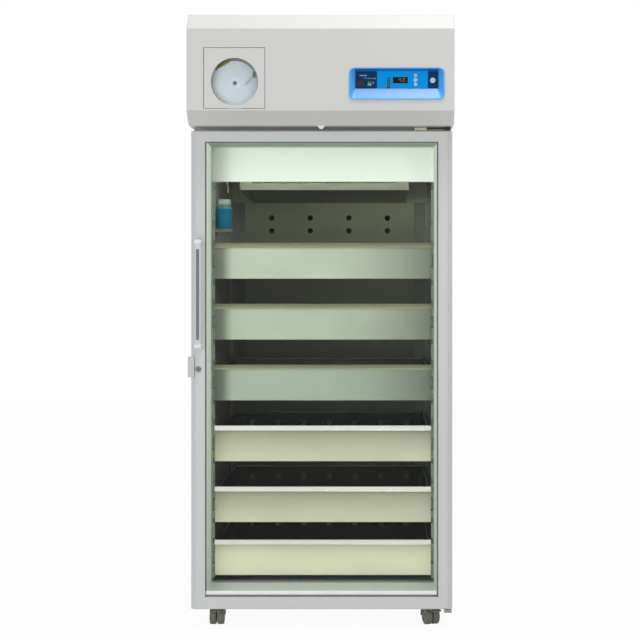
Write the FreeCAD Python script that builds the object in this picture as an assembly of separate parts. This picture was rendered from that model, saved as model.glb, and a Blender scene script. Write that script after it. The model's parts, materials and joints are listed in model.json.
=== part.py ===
import FreeCAD, Part
import math
import os

Vec = FreeCAD.Vector
ORIGIN = Vec(0, 0, 0)
UP = Vec(0, 0, 1)
RIGHT = Vec(1, 0, 0)
REARWARD = Vec(0, 1, 0)

# All sizes are in millimetres. X runs to the right, Y to the rear, Z up from the floor.

# Cabinet body
cabinet_width = 848.0
cabinet_depth = 773.0
base_height = 80.0
body_height = 1550.0
machine_height = 361.0
side_wall = 56.0
floor_wall = 60.0
ceiling_wall = 50.0
back_wall = 63.5
duct_depth = 24.5
sheet = 1.5
liner_sheet = 1.0
breaker_depth = 6.5

# Clearances between pieces
touch_gap = 0.3
running_gap = 0.05
slide_gap = 0.3
panel_gap = 1.6

# Air duct panel on the back wall
duct_corner_width = 49.0
duct_corner_depth = 20.0
duct_hole_radius = 10.5
duct_hole_spacing = 145.6
duct_hole_columns = 4
duct_hole_drops = (203.0, 251.5)

# Header cover, which stands out over the door
header_overhang = 170.0
header_wall = 3.0
header_face_drop = 53.5
header_face_rise = 49.5
header_gap = 8.0
header_top_run = 50.0
header_bottom_run = 55.0
header_side_lap = 20.0
header_edge_radius = 3.0

# Tab under the middle of the header cover
latch_width = 26.0
latch_tip_width = 8.0
latch_drop = 11.0
latch_thickness = 3.0
latch_setback = 58.0

# Rear louvres of the machine compartment
louvre_columns = 5
louvre_rows = 11
louvre_length = 120.0
louvre_height = 8.0
louvre_column_pitch = 140.0
louvre_row_pitch = 22.0
louvre_first_rise = 90.0

# Upturned lip along the front of the deck
deck_lip_rise = 16.0
deck_lip_gap = 3.0

# Door
door_side_lap = 1.0
door_drop = 9.0
door_top_gap = 5.0
door_thickness = 65.0
gasket_depth = 15.0
stile_width = 46.0
top_rail = 35.5
bottom_rail = 39.0
door_bevel_width = 16.0
door_bevel_depth = 14.0
door_end_bevel = 4.0
door_flange = 12.0
glass_rebate = 16.0
glass_thickness = 5.0
glass_space = 14.0
glass_edge_gap = 1.0
bead_lip = 2.0
gasket_width = 28.0
gasket_side_setback = 14.0
gasket_top_setback = 12.0
gasket_bottom_setback = 22.0

# Door hinge on the right side
hinge_inset = 13.0
hinge_setback = 28.5
hinge_pin_radius = 5.0
hinge_pin_reach = 20.0
hinge_plate_thickness = 5.0
hinge_plate_length = 67.0
hinge_plate_nose = 13.0
hinge_plate_rear = 60.0
lower_hinge_drop = 2.0
lower_hinge_plate = 4.0
lower_hinge_length = 19.0
lower_hinge_tongue = 32.0
lower_hinge_tongue_depth = 30.0
lower_hinge_nut = 5.0

# Door handle
handle_inset = 28.0
handle_width = 21.0
handle_bottom = 920.0
handle_top = 1270.0
handle_reach = 45.0
handle_bar = 12.0
handle_post = 12.0
handle_edge = 4.0
inlay_width = 9.6
inlay_bottom = 948.0
inlay_top = 1239.0
inlay_proud = 1.0

# Door lock and the hasp beside it
lock_inset = 25.0
lock_z = 851.0
lock_head_radius = 8.0
lock_head_proud = 3.0
lock_head_depth = 10.0
lock_barrel_radius = 4.5
lock_barrel_depth = 24.0
hasp_bottom = 825.0
hasp_top = 890.0
hasp_proud = 10.0
hasp_lap = 11.0
hasp_front_proud = 2.0
hasp_corner = 5.0

# Light valance across the top of the interior
valance_height = 111.0
valance_setback = 40.0
valance_sheet = 2.0
valance_flange = 30.0
lamp_radius = 8.0
lamp_end_gap = 38.0
lamp_setback = 22.0
lamp_drop = 80.0
lamp_holder = 10.0

# Evaporator cover, coil and fan under the ceiling
cover_side_gap = 80.0
cover_front_setback = 160.0
cover_front_height = 132.0
cover_rear_height = 146.0
cover_slot_length = 14.0
cover_slot_height = 4.0
cover_slot_pitch = 20.0
cover_slot_end_gap = 32.0
cover_slot_drop = 106.0
coil_side_gap = 48.0
coil_front_setback = 340.0
coil_depth = 180.0
coil_drop = 108.0
coil_fins = 33
coil_fin_sheet = 1.2
coil_tube_radius = 5.0
coil_tube_rows = 3
coil_hanger = 20.0
evaporator_fan_drop = 66.0
evaporator_fan_setback = 205.0
evaporator_fan_radius = 52.0
evaporator_motor_radius = 24.0
evaporator_motor_length = 48.0

# Drawers
drawer_count = 6
drawer_floor_gap = 20.5
lowest_drawer_step = 176.0
drawer_bracket_gap = 28.0
drawer_height = 119.0
drawer_front_gap = 9.5
drawer_side_gap = 17.0
drawer_setback = 31.5
drawer_rear_gap = 13.5
drawer_sheet = 1.5
drawer_wall_drop = 10.0
lip_depth = 12.0
lip_height = 16.0
drawer_vent_radius = 10.0
drawer_vent_pitch = 96.0
drawer_vent_count = 7
drawer_vent_z = 70.0

# Drawer runners
runner_height = 34.0
runner_sheet = 1.5
runner_reach = 11.0
runner_front_setback = 39.5
runner_rear_gap = 33.5
runner_z = 58.0
bar_end_gap = 2.0
bar_web_gap = 1.1

# Slotted pilasters that carry the runners
pilaster_sheet = 1.5
pilaster_width = 30.0
pilaster_flange = 8.5
pilaster_front_setback = 35.5
pilaster_rear_gap = 35.0
pilaster_foot = 10.0
pilaster_drop = 140.0
pilaster_slot_pitch = 66.0
pilaster_slot_height = 18.0
pilaster_slot_width = 3.5
pilaster_notch_gap = 3.0

# Temperature probe bottle on the left wall
bottle_inset = 28.5
bottle_setback = 141.5
bottle_radius = 26.0
bottle_drop = 266.0
bottle_body_height = 70.0
bottle_neck_radius = 20.0
bottle_neck_height = 12.5
cap_radius = 22.0
cap_height = 18.5
stopper_offset = 12.5
stopper_radius = 4.5
stopper_height = 22.0
holder_sheet = 2.0
holder_reach = 57.0
holder_width = 64.0
holder_foot = 22.0
holder_back_height = 58.0
holder_lip = 9.0

# Probe lead from the stopper to the gland in the ceiling, route points chosen by hand
lead_radius = 2.0
gland_radius = 8.0
gland_drop = 12.0
lead_rise = ((0.0, 0.0, 0.0), (1.0, 0.5, 26.0), (-9.0, -5.0, 55.0), (-20.0, -9.0, 88.0), (-21.0, -10.0, 131.0))

# Probe access port through the left wall
port_y = 150.0
port_drop = 195.0
port_bore_radius = 15.0
port_outer_radius = 20.0
port_flange_radius = 26.0
port_flange = 3.0

# Chart recorder behind its door in the header
recorder_inset = 55.5
recorder_width = 193.5
recorder_drop = 61.5
recorder_height = 192.0
window_inset = 97.5
window_rise = 84.5
window_radius = 75.5
window_lap = 4.0
window_sheet = 3.0
recorder_depth = 48.5
recorder_case_lap = 4.5
recorder_case_wall = 2.0
recorder_pin_radius = 1.0
recorder_pin_reach = 6.0
chart_offset_x = -1.0
chart_offset_z = -2.0
chart_radius = 71.0
chart_sheet = 0.8
chart_setback = 19.5
chart_shaft_radius = 2.5
chart_hub_radius = 6.5
chart_hub_depth = 4.0
pen_inset = 26.0
pen_drop = 67.0
pen_boss_radius = 5.0
pen_shaft_radius = 2.0
pen_length = 62.0
pen_width = 3.0
pen_direction = 232.0
pen_lift = 4.0
pen_thickness = 1.5
pen_nib = 3.0
lift_bar_radius_out = 71.0
lift_bar_length = 42.0
lift_bar_width = 9.0
lift_bar_angle = 120.5
lift_post_radius = 2.5
lift_post_out = 6.5

# Control panel in the header
bezel_inset = 32.0
bezel_width = 304.0
bezel_drop = 125.0
bezel_height = 101.5
bezel_corner = 17.0
bezel_proud = 3.0
bezel_lap = 2.0
bezel_depth = 19.5
bezel_rim = 3.5
bezel_back_sheet = 4.0
recess_left_margin = 19.0
recess_right_margin = 18.5
recess_bottom_margin = 37.0
recess_top_margin = 6.5
recess_corner = 3.0
faceplate_lap = 2.0
faceplate_sheet = 3.0
display_inset = 140.0
display_width = 47.0
display_rise = 55.0
display_height = 19.5
display_proud = 0.8
board_depth = 60.0
board_stand = 19.0
board_post_radius = 4.0
key_inset = 35.7
key_rise = 55.0
key_radius = 7.5
key_proud = 5.0
key_depth = 12.0
button_inset = 92.0
button_rise = 65.5
button_pitch = 14.0
button_radius = 5.5
button_set_radius = 6.5
mute_inset = 37.0
mute_rise = 64.0
mute_radius = 8.6
button_proud = 2.6
button_travel = 1.0
button_stand = 1.3
button_stem_inset = 1.5
button_stem_length = 7.0

# Compressor in the machine compartment
compressor_inset = 224.0
compressor_rear_gap = 281.5
compressor_radius = 85.0
compressor_height = 190.0
compressor_dome = 30.0
compressor_foot_width = 230.0
compressor_foot_depth = 190.0
compressor_foot_sheet = 4.0
compressor_foot_height = 14.0
compressor_pad_radius = 12.0
pipe_radius = 5.0
pipe_rise = 45.0

# Condenser coil, shroud and fan
condenser_inset = 34.0
condenser_width = 340.0
condenser_rear_gap = 35.0
condenser_depth = 50.0
condenser_rise = 10.0
condenser_top_gap = 31.0
condenser_fins = 40
condenser_fin_sheet = 1.2
condenser_tube_radius = 5.0
condenser_tube_rows = 8
shroud_gap = 30.0
shroud_sheet = 3.0
fan_edge_gap = 25.0
fan_tip_gap = 6.0
fan_depth = 26.0
fan_blades = 5
fan_blade_sheet = 2.5
fan_blade_pitch = 32.0
fan_hub_radius = 34.0
fan_shaft_radius = 4.0
motor_radius = 42.0
motor_length = 60.0
motor_bracket_width = 60.0
motor_bracket_sheet = 5.0

# Power inlet at the rear
inlet_inset = 70.0
inlet_rise = 40.0
inlet_width = 44.0
inlet_height = 36.0
inlet_flange = 4.0
inlet_flange_sheet = 2.0
inlet_depth = 22.0
inlet_recess_width = 28.0
inlet_recess_height = 20.0
inlet_recess_depth = 16.0
inlet_pin_length = 9.0
inlet_pin_spacing = 8.0
inlet_pin_width = 2.0
inlet_pin_height = 5.0

# Casters: twin wheels on a swivel, the front pair with brake pedals
caster_inset = 74.0
caster_front_setback = 51.5
caster_rear_gap = 76.5
caster_front_left_turn = 0.0
caster_front_right_turn = 16.5
caster_rear_turn = 0.0
caster_plate = 84.0
caster_plate_sheet = 4.0
caster_race_radius = 25.0
caster_race_height = 6.5
caster_gap = 0.5
kingpin_radius = 5.0
crown_radius = 24.0
crown_height = 8.5
caster_trail = 28.0
caster_head = 22.0
wheel_width = 21.0
wheel_space = 4.0
wheel_edge = 3.0
wheel_dish_radius = 18.0
wheel_dish_depth = 2.5
wheel_hub_radius = 8.0
axle_radius = 4.0
axle_overhang = 1.5
web_thickness = 3.0
hood_gap = 1.5
hood_sheet = 2.5
hood_overhang = 2.0
hood_front_angle = 100.0
hood_rear_angle = -10.0
pedal_pivot_forward = 55.0
pedal_pivot_drop = 24.0
pedal_barrel_radius = 4.0
pedal_barrel_half = 12.7
pedal_pin_radius = 1.5
pedal_reach = 95.0
pedal_half_width = 15.0
pedal_neck_half = 12.5
pedal_neck = 7.0
pedal_thickness = 3.0
ear_sheet = 3.0
ear_gap = 0.3

# Planes, edges and places that follow from the sizes above

# Cabinet
rear_y = (cabinet_depth + header_overhang) / 2
front_y = rear_y - cabinet_depth
half_body = cabinet_width / 2
half_inside = half_body - sheet
room_x = half_body - side_wall
room_floor = base_height + floor_wall
deck_z = base_height + body_height
room_ceiling = deck_z - ceiling_wall
top_z = deck_z + machine_height
breaker_back_y = front_y + breaker_depth
liner_back_y = rear_y - back_wall
duct_front_y = liner_back_y - duct_depth
corner_front_y = duct_front_y - duct_corner_depth
port_z = room_ceiling - port_drop

# Header
half_header = half_body + header_wall
face_y = front_y - header_overhang
header_inner_y = face_y + header_wall
header_top = top_z + header_wall
header_bottom = deck_z + header_gap
header_face_top = header_top - header_face_drop
header_face_bottom = deck_z + header_face_rise

# Door
half_door = half_body + door_side_lap
door_bottom = base_height - door_drop
door_top = deck_z - door_top_gap
door_back_y = front_y - gasket_depth
door_front_y = door_back_y - door_thickness
hinge_x = half_door - hinge_inset
hinge_y = front_y - hinge_setback
aperture_x = half_door - stile_width
aperture_bottom = door_bottom + bottom_rail
aperture_top = door_top - top_rail
glass_half = aperture_x + glass_rebate - glass_edge_gap
glass_bottom = aperture_bottom - glass_rebate + glass_edge_gap
glass_top = aperture_top + glass_rebate - glass_edge_gap
glass_front_y = door_front_y + door_flange
glass_back_y = glass_front_y + 2 * glass_thickness + glass_space
gasket_inner_x = room_x + gasket_side_setback
gasket_inner_top = room_ceiling + gasket_top_setback
gasket_inner_bottom = room_floor - gasket_bottom_setback
handle_x = -half_door + handle_inset
lock_x = -half_door + lock_inset
hasp_inner_x = -half_door + hasp_lap

# Under the ceiling
valance_bottom = room_ceiling - valance_height
lamp_half_length = room_x - lamp_end_gap
cover_half_width = room_x - cover_side_gap
cover_front_bottom = room_ceiling - cover_front_height
cover_rear_bottom = room_ceiling - cover_rear_height
cover_slot_half_run = cover_half_width - cover_slot_end_gap
cover_slot_z = room_ceiling - cover_slot_drop
coil_half_width = cover_half_width - coil_side_gap
coil_bottom = room_ceiling - coil_drop
evaporator_fan_z = room_ceiling - evaporator_fan_drop

# Probe bottle
bottle_x = -room_x + bottle_inset
bottle_y = front_y + bottle_setback
bottle_bottom = room_ceiling - bottle_drop
bottle_shoulder = bottle_bottom + bottle_body_height
cap_skirt = bottle_shoulder + bottle_neck_height
cap_top = cap_skirt + cap_height
stopper_top = cap_top + stopper_height
holder_bottom = bottle_bottom - holder_foot
holder_top = bottle_bottom + holder_back_height

# Drawers and runners
drawer_front_half = room_x - drawer_front_gap
drawer_half = room_x - drawer_side_gap
drawer_face_y = front_y + drawer_setback
drawer_back_y = corner_front_y - drawer_rear_gap
runner_front_y = front_y + runner_front_setback
runner_back_y = corner_front_y - runner_rear_gap
pilaster_top = room_ceiling - pilaster_drop
top_drawer_top = holder_bottom - drawer_bracket_gap
lowest_drawer_top = room_floor + drawer_floor_gap + drawer_height
second_drawer_top = lowest_drawer_top + lowest_drawer_step
drawer_pitch = (top_drawer_top - second_drawer_top) / (drawer_count - 2)
drawer_tops = [top_drawer_top - i * drawer_pitch for i in range(drawer_count - 1)]
drawer_tops.append(lowest_drawer_top)

# Recorder
recorder_left = -half_header + recorder_inset
recorder_right = recorder_left + recorder_width
recorder_top = header_face_top - recorder_drop
recorder_bottom = recorder_top - recorder_height
recorder_back_y = header_inner_y + recorder_depth - recorder_case_wall
window_x = recorder_left + window_inset
window_z = recorder_bottom + window_rise
chart_x = window_x + chart_offset_x
chart_z = window_z + chart_offset_z
chart_front_y = header_inner_y + chart_setback
pen_x = recorder_right - pen_inset
pen_z = recorder_top - pen_drop

# Controls
bezel_right = half_header - bezel_inset
bezel_left = bezel_right - bezel_width
bezel_top = header_face_top - bezel_drop
bezel_bottom = bezel_top - bezel_height
recess_left = bezel_left + recess_left_margin
recess_right = bezel_right - recess_right_margin
recess_bottom = bezel_bottom + recess_bottom_margin
recess_top = bezel_top - recess_top_margin
faceplate_front_y = face_y + bezel_depth
display_left = bezel_left + display_inset
display_bottom = bezel_bottom + display_rise
key_x = bezel_left + key_inset
key_z = bezel_bottom + key_rise
button_x = bezel_right - button_inset
button_set_z = bezel_bottom + button_rise
button_up_z = button_set_z + button_pitch
button_down_z = button_set_z - button_pitch
mute_x = bezel_right - mute_inset
mute_z = bezel_bottom + mute_rise

# Machine compartment
compressor_x = -half_body + compressor_inset
compressor_y = rear_y - compressor_rear_gap
condenser_right = half_body - condenser_inset
condenser_left = condenser_right - condenser_width
condenser_bottom = deck_z + condenser_rise
condenser_height = machine_height - condenser_rise - condenser_top_gap
condenser_fan_radius = min(condenser_width, condenser_height) / 2 - fan_edge_gap
inlet_x = half_body - inlet_inset
inlet_z = deck_z + inlet_rise

# Casters
caster_x = half_body - caster_inset
caster_front_y = front_y + caster_front_setback
caster_rear_y = rear_y - caster_rear_gap
wheel_radius = (base_height - caster_head) / 2
pedal_pivot_z = base_height - pedal_pivot_drop


# Shapes that many pieces use


def block(x0, x1, y0, y1, z0, z1):
    """A box between two corners."""
    return Part.makeBox(x1 - x0, y1 - y0, z1 - z0, Vec(x0, y0, z0))


def rod(radius, start, end):
    """A round bar from one point to another."""
    start, end = Vec(*start), Vec(*end)
    return Part.makeCylinder(radius, (end - start).Length, start, end - start)


def prism(points, along):
    """A solid with a flat outline, pushed along a vector."""
    outline = [Vec(*p) for p in points]
    return Part.Face(Part.makePolygon(outline + outline[:1])).extrude(Vec(*along))


def joined(shapes):
    """One solid from pieces that meet."""
    return shapes[0].fuse(shapes[1:]).removeSplitter()


def mirrored_pair(shape):
    """A piece and its mirror image on the other side."""
    return [shape, shape.mirror(ORIGIN, RIGHT)]


def rounded_wire(x0, x1, z0, z1, radius, y):
    """A rectangle with round corners, standing at y."""
    centres = ((x1 - radius, z1 - radius, 0), (x0 + radius, z1 - radius, 90),
               (x0 + radius, z0 + radius, 180), (x1 - radius, z0 + radius, 270))
    corners = []
    for cx, cz, start in centres:
        angles = [math.radians(start + turn) for turn in (0, 45, 90)]
        corners.append([Vec(cx + radius * math.cos(a), y, cz + radius * math.sin(a)) for a in angles])
    edges = []
    for i, corner in enumerate(corners):
        edges.append(Part.Arc(*corner).toShape())
        edges.append(Part.LineSegment(corner[2], corners[(i + 1) % 4][0]).toShape())
    return Part.Wire(edges)


def rounded_block(x0, x1, z0, z1, radius, y0, y1):
    """A plate with round corners, from y0 back to y1."""
    return Part.Face(rounded_wire(x0, x1, z0, z1, radius, y0)).extrude(Vec(0, y1 - y0, 0))


def mitred_bars(ring, outer, inner, y0, y1):
    """Cuts a ring round an opening into four bars, at planes from its outer to its inner corners."""
    (ox0, ox1, oz0, oz1), (ix0, ix1, iz0, iz1) = outer, inner
    quarters = (((ox0, oz0), (ix0, iz0), (ix0, iz1), (ox0, oz1)),
                ((ox1, oz0), (ox1, oz1), (ix1, iz1), (ix1, iz0)),
                ((ox0, oz0), (ox1, oz0), (ix1, iz0), (ix0, iz0)),
                ((ox0, oz1), (ix0, iz1), (ix1, iz1), (ox1, oz1)))
    bars = []
    for quarter in quarters:
        cutter = prism([(x, y0, z) for x, z in quarter], (0, y1 - y0, 0))
        bars.append(ring.common(cutter).Solids[0])
    return bars


def frame_bars(outer, inner, y0, y1):
    """Four plain mitred bars round an opening."""
    ring = block(outer[0], outer[1], y0, y1, outer[2], outer[3])
    ring = ring.cut(block(inner[0], inner[1], y0, y1, inner[2], inner[3]))
    return mitred_bars(ring, outer, inner, y0, y1)


def save(name, shapes):
    """Writes the solids of one piece to its own file."""
    Part.makeCompound(shapes).exportStep("parts/" + name + ".step")


# Cabinet body


def port_hole(radius):
    """The round way through the left wall for the access port."""
    return rod(radius, (-half_body, port_y, port_z), (-room_x, port_y, port_z))


def outer_panels():
    """Painted steel sides, back and floor pan."""
    side = block(half_inside, half_body, front_y, rear_y, base_height, top_z)
    right, left = mirrored_pair(side)
    back = block(-half_inside, half_inside, rear_y - sheet, rear_y, base_height, deck_z)
    pan = block(-half_inside, half_inside, breaker_back_y, rear_y - sheet, base_height, base_height + sheet)
    return [left.cut(port_hole(port_outer_radius)), right, back, pan]


def insulation():
    """Foam slabs between the outer panels and the liner."""
    outer_liner = room_x + liner_sheet
    low, high = base_height + sheet, deck_z - sheet
    side = block(outer_liner, half_inside, breaker_back_y, rear_y - sheet, low, high)
    right, left = mirrored_pair(side)
    back = block(-outer_liner, outer_liner, liner_back_y + liner_sheet, rear_y - sheet, low, high)
    front_to_back = (breaker_back_y, liner_back_y + liner_sheet)
    top = block(-outer_liner, outer_liner, *front_to_back, room_ceiling + liner_sheet, high)
    bottom = block(-outer_liner, outer_liner, *front_to_back, low, room_floor - liner_sheet)
    return [left.cut(port_hole(port_outer_radius)), right, back, top, bottom]


def liner():
    """Inner walls, floor, ceiling and back of the cold room."""
    low, high = room_floor - liner_sheet, room_ceiling + liner_sheet
    side = block(room_x, room_x + liner_sheet, breaker_back_y, liner_back_y, low, high)
    right, left = mirrored_pair(side)
    ceiling = block(-room_x, room_x, breaker_back_y, liner_back_y, room_ceiling, high)
    ground = block(-room_x, room_x, breaker_back_y, liner_back_y, low, room_floor)
    half_back = room_x + liner_sheet
    back = block(-half_back, half_back, liner_back_y, liner_back_y + liner_sheet, low, high)
    return [left.cut(port_hole(port_outer_radius)), right, ceiling, ground, back]


def breaker_strip():
    """Plastic frame round the cabinet opening that the gasket seals on."""
    outer = (-half_inside, half_inside, base_height, deck_z)
    inner = (-room_x, room_x, room_floor, room_ceiling)
    return frame_bars(outer, inner, front_y, breaker_back_y)


def duct_panel():
    """Back panel with return air holes and slanted corner strips."""
    panel = block(-room_x, room_x, duct_front_y, duct_front_y + sheet, room_floor, room_ceiling)
    first = -duct_hole_spacing * (duct_hole_columns - 1) / 2
    for column in range(duct_hole_columns):
        x = first + column * duct_hole_spacing
        for drop in duct_hole_drops:
            z = room_ceiling - drop
            hole = rod(duct_hole_radius, (x, duct_front_y - 1, z), (x, duct_front_y + sheet + 1, z))
            panel = panel.cut(hole)
    corner = prism([(room_x, duct_front_y, room_floor),
                    (room_x - duct_corner_width, duct_front_y, room_floor),
                    (room_x, duct_front_y - duct_corner_depth, room_floor)],
                   (0, 0, cover_rear_bottom - room_floor))
    return [panel] + mirrored_pair(corner)


def port_sleeve():
    """Plastic sleeve through the left wall for a visitor's probe lead."""
    inner_x = -room_x + port_flange
    sleeve = joined([
        rod(port_outer_radius, (-half_body, port_y, port_z), (inner_x, port_y, port_z)),
        rod(port_flange_radius, (-half_body - port_flange, port_y, port_z), (-half_body, port_y, port_z)),
        rod(port_flange_radius, (-room_x, port_y, port_z), (inner_x, port_y, port_z)),
    ])
    bore = rod(port_bore_radius, (-half_body - 2 * port_flange, port_y, port_z), (0, port_y, port_z))
    return [sleeve.cut(bore)]


# Door and its fittings


def door_frame():
    """Four mitred bars with a bevelled outer edge, a glass rebate and hinge pin holes."""
    outer = (-half_door, half_door, door_bottom, door_top)
    inner = (-aperture_x, aperture_x, aperture_bottom, aperture_top)
    ring = block(-half_door, half_door, door_front_y, door_back_y, door_bottom, door_top)
    slant_y = door_front_y + door_bevel_depth
    flat_x = half_door - door_bevel_width
    side = prism([(half_door, door_front_y, door_bottom), (flat_x, door_front_y, door_bottom),
                  (half_door, slant_y, door_bottom)], (0, 0, door_top - door_bottom))
    for cutter in mirrored_pair(side):
        ring = ring.cut(cutter)
    for edge, inward in ((door_bottom, 1), (door_top, -1)):
        flat_z = edge + inward * door_end_bevel
        ring = ring.cut(prism([(-half_door, door_front_y, edge), (-half_door, door_front_y, flat_z),
                               (-half_door, door_front_y + door_end_bevel, edge)], (2 * half_door, 0, 0)))
    ring = ring.cut(block(-aperture_x, aperture_x, door_front_y, door_back_y, aperture_bottom, aperture_top))
    rebate_x = aperture_x + glass_rebate
    ring = ring.cut(block(-rebate_x, rebate_x, glass_front_y, door_back_y,
                          aperture_bottom - glass_rebate, aperture_top + glass_rebate))
    pin_hole = hinge_pin_radius + running_gap
    for z0, z1 in ((door_top - hinge_pin_reach, door_top), (door_bottom, door_bottom + hinge_pin_reach)):
        ring = ring.cut(rod(pin_hole, (hinge_x, hinge_y, z0), (hinge_x, hinge_y, z1)))
    ring = ring.cut(lock_shape(running_gap, 0.0))
    return mitred_bars(ring, outer, inner, door_front_y, door_back_y)


def glazing_bead():
    """Snap-in bead behind the glass."""
    outer_x = aperture_x + glass_rebate - touch_gap
    outer = (-outer_x, outer_x, aperture_bottom - glass_rebate + touch_gap, aperture_top + glass_rebate - touch_gap)
    inner_x = aperture_x + bead_lip
    inner = (-inner_x, inner_x, aperture_bottom - bead_lip, aperture_top + bead_lip)
    return frame_bars(outer, inner, glass_back_y, door_back_y)


def glass_panes():
    """Outer and inner pane of the sealed double glazing."""
    outer = block(-glass_half, glass_half, glass_front_y, glass_front_y + glass_thickness, glass_bottom, glass_top)
    inner = block(-glass_half, glass_half, glass_back_y - glass_thickness, glass_back_y, glass_bottom, glass_top)
    return [outer, inner]


def door_gasket():
    """Soft seal on the back of the door, just clear of the cabinet."""
    inner = (-gasket_inner_x, gasket_inner_x, gasket_inner_bottom, gasket_inner_top)
    outer_x = gasket_inner_x + gasket_width
    outer = (-outer_x, outer_x, gasket_inner_bottom - gasket_width, gasket_inner_top + gasket_width)
    return frame_bars(outer, inner, door_back_y, front_y - touch_gap)


def door_handle():
    """Upright pull bar on two posts."""
    x0, x1 = handle_x - handle_width / 2, handle_x + handle_width / 2
    bar_front = door_front_y - handle_reach
    bar_back = bar_front + handle_bar
    bar = block(x0, x1, bar_front, bar_back, handle_bottom, handle_top)
    front_edges = [e for e in bar.Edges if all(abs(v.Y - bar_front) < 0.01 for v in e.Vertexes)]
    bar = bar.makeFillet(handle_edge, front_edges)
    low = block(x0, x1, bar_back, door_front_y, handle_bottom, handle_bottom + handle_post)
    high = block(x0, x1, bar_back, door_front_y, handle_top - handle_post, handle_top)
    return [bar, low, high]


def handle_inlay():
    """Soft grip strip along the front of the handle."""
    bar_front = door_front_y - handle_reach
    x0, x1 = handle_x - inlay_width / 2, handle_x + inlay_width / 2
    return [block(x0, x1, bar_front - inlay_proud, bar_front, inlay_bottom, inlay_top)]


def lock_shape(grow, proud):
    """The lock's round head and barrel, grown by a clearance for its hole."""
    head_back = door_front_y + lock_head_depth
    barrel_back = head_back + lock_barrel_depth
    return joined([
        rod(lock_head_radius + grow, (lock_x, door_front_y - proud, lock_z), (lock_x, head_back + grow, lock_z)),
        rod(lock_barrel_radius + grow, (lock_x, head_back, lock_z), (lock_x, barrel_back + grow, lock_z)),
    ])


def lock_cylinder():
    """Key lock in the left stile, with a key slot."""
    lock = lock_shape(0.0, lock_head_proud)
    slot_y = door_front_y - lock_head_proud
    slot = block(lock_x - 1.0, lock_x + 1.0, slot_y - 1, slot_y + 4, lock_z - 4.5, lock_z + 4.5)
    return [lock.cut(slot)]


def hasp_plate():
    """Padlock bracket that wraps the left edge of the door."""
    bevel_slope = door_bevel_depth / door_bevel_width
    inner_depth = (-hasp_inner_x - (half_door - door_bevel_width)) * bevel_slope
    front = door_front_y - hasp_front_proud
    outer_x = -half_door - hasp_proud
    outline = [(-half_door, door_back_y - hasp_corner), (outer_x, door_back_y - hasp_corner),
               (outer_x, front + hasp_corner), (outer_x + hasp_corner, front), (hasp_inner_x, front),
               (hasp_inner_x, door_front_y + inner_depth), (-half_door, door_front_y + door_bevel_depth)]
    return [prism([(x, y, hasp_bottom) for x, y in outline], (0, 0, hasp_top - hasp_bottom))]


def hinge_brackets():
    """Top plate on the deck and bottom plate under the floor pan, each with its pin."""
    nose_y = hinge_y - hinge_plate_nose
    plate_top = deck_z + hinge_plate_thickness
    top = joined([
        block(hinge_x - hinge_plate_length, half_inside, nose_y, front_y + hinge_plate_rear, deck_z, plate_top),
        rod(hinge_pin_radius, (hinge_x, hinge_y, door_top - hinge_pin_reach + 1), (hinge_x, hinge_y, plate_top)),
    ])
    plate_z1 = door_bottom - lower_hinge_drop
    plate_z0 = plate_z1 - lower_hinge_plate
    rear = front_y + hinge_plate_rear
    lower_x = hinge_x - lower_hinge_length
    tongue_x = hinge_x - lower_hinge_tongue
    bottom = joined([
        block(lower_x, half_inside, nose_y, rear, plate_z0, plate_z1),
        block(tongue_x, lower_x, nose_y, nose_y + lower_hinge_tongue_depth, plate_z0, plate_z1),
        rod(2 * hinge_pin_radius, (hinge_x, hinge_y, plate_z0 - lower_hinge_nut), (hinge_x, hinge_y, plate_z0)),
        block(lower_x, half_inside, breaker_back_y, rear, plate_z1, base_height),
        rod(hinge_pin_radius + 4, (hinge_x, hinge_y, plate_z1), (hinge_x, hinge_y, door_bottom - touch_gap)),
        rod(hinge_pin_radius, (hinge_x, hinge_y, plate_z0), (hinge_x, hinge_y, door_bottom + hinge_pin_reach - 1)),
    ])
    return [top, bottom]


# Inside the cold room


def light_valance():
    """White light panel across the top, with its lamp tube and two lamp holders."""
    front = front_y + valance_setback
    half = room_x - touch_gap
    panel = joined([
        block(-half, half, front, front + valance_sheet, valance_bottom, room_ceiling),
        block(-half, half, front, front + valance_flange, valance_bottom, valance_bottom + valance_sheet),
    ])
    lamp_y = front + lamp_setback
    lamp_z = room_ceiling - lamp_drop
    lamp = rod(lamp_radius, (-lamp_half_length, lamp_y, lamp_z), (lamp_half_length, lamp_y, lamp_z))
    holder = block(lamp_half_length, lamp_half_length + lamp_holder, lamp_y - lamp_holder, lamp_y + lamp_holder,
                   lamp_z - lamp_holder, room_ceiling)
    return [panel, lamp] + mirrored_pair(holder)


def cover_bottom_z(y):
    """Height of the sloping underside of the evaporator cover."""
    share = (y - (front_y + cover_front_setback)) / (duct_front_y - front_y - cover_front_setback)
    return cover_front_bottom + share * (cover_rear_bottom - cover_front_bottom)


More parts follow.
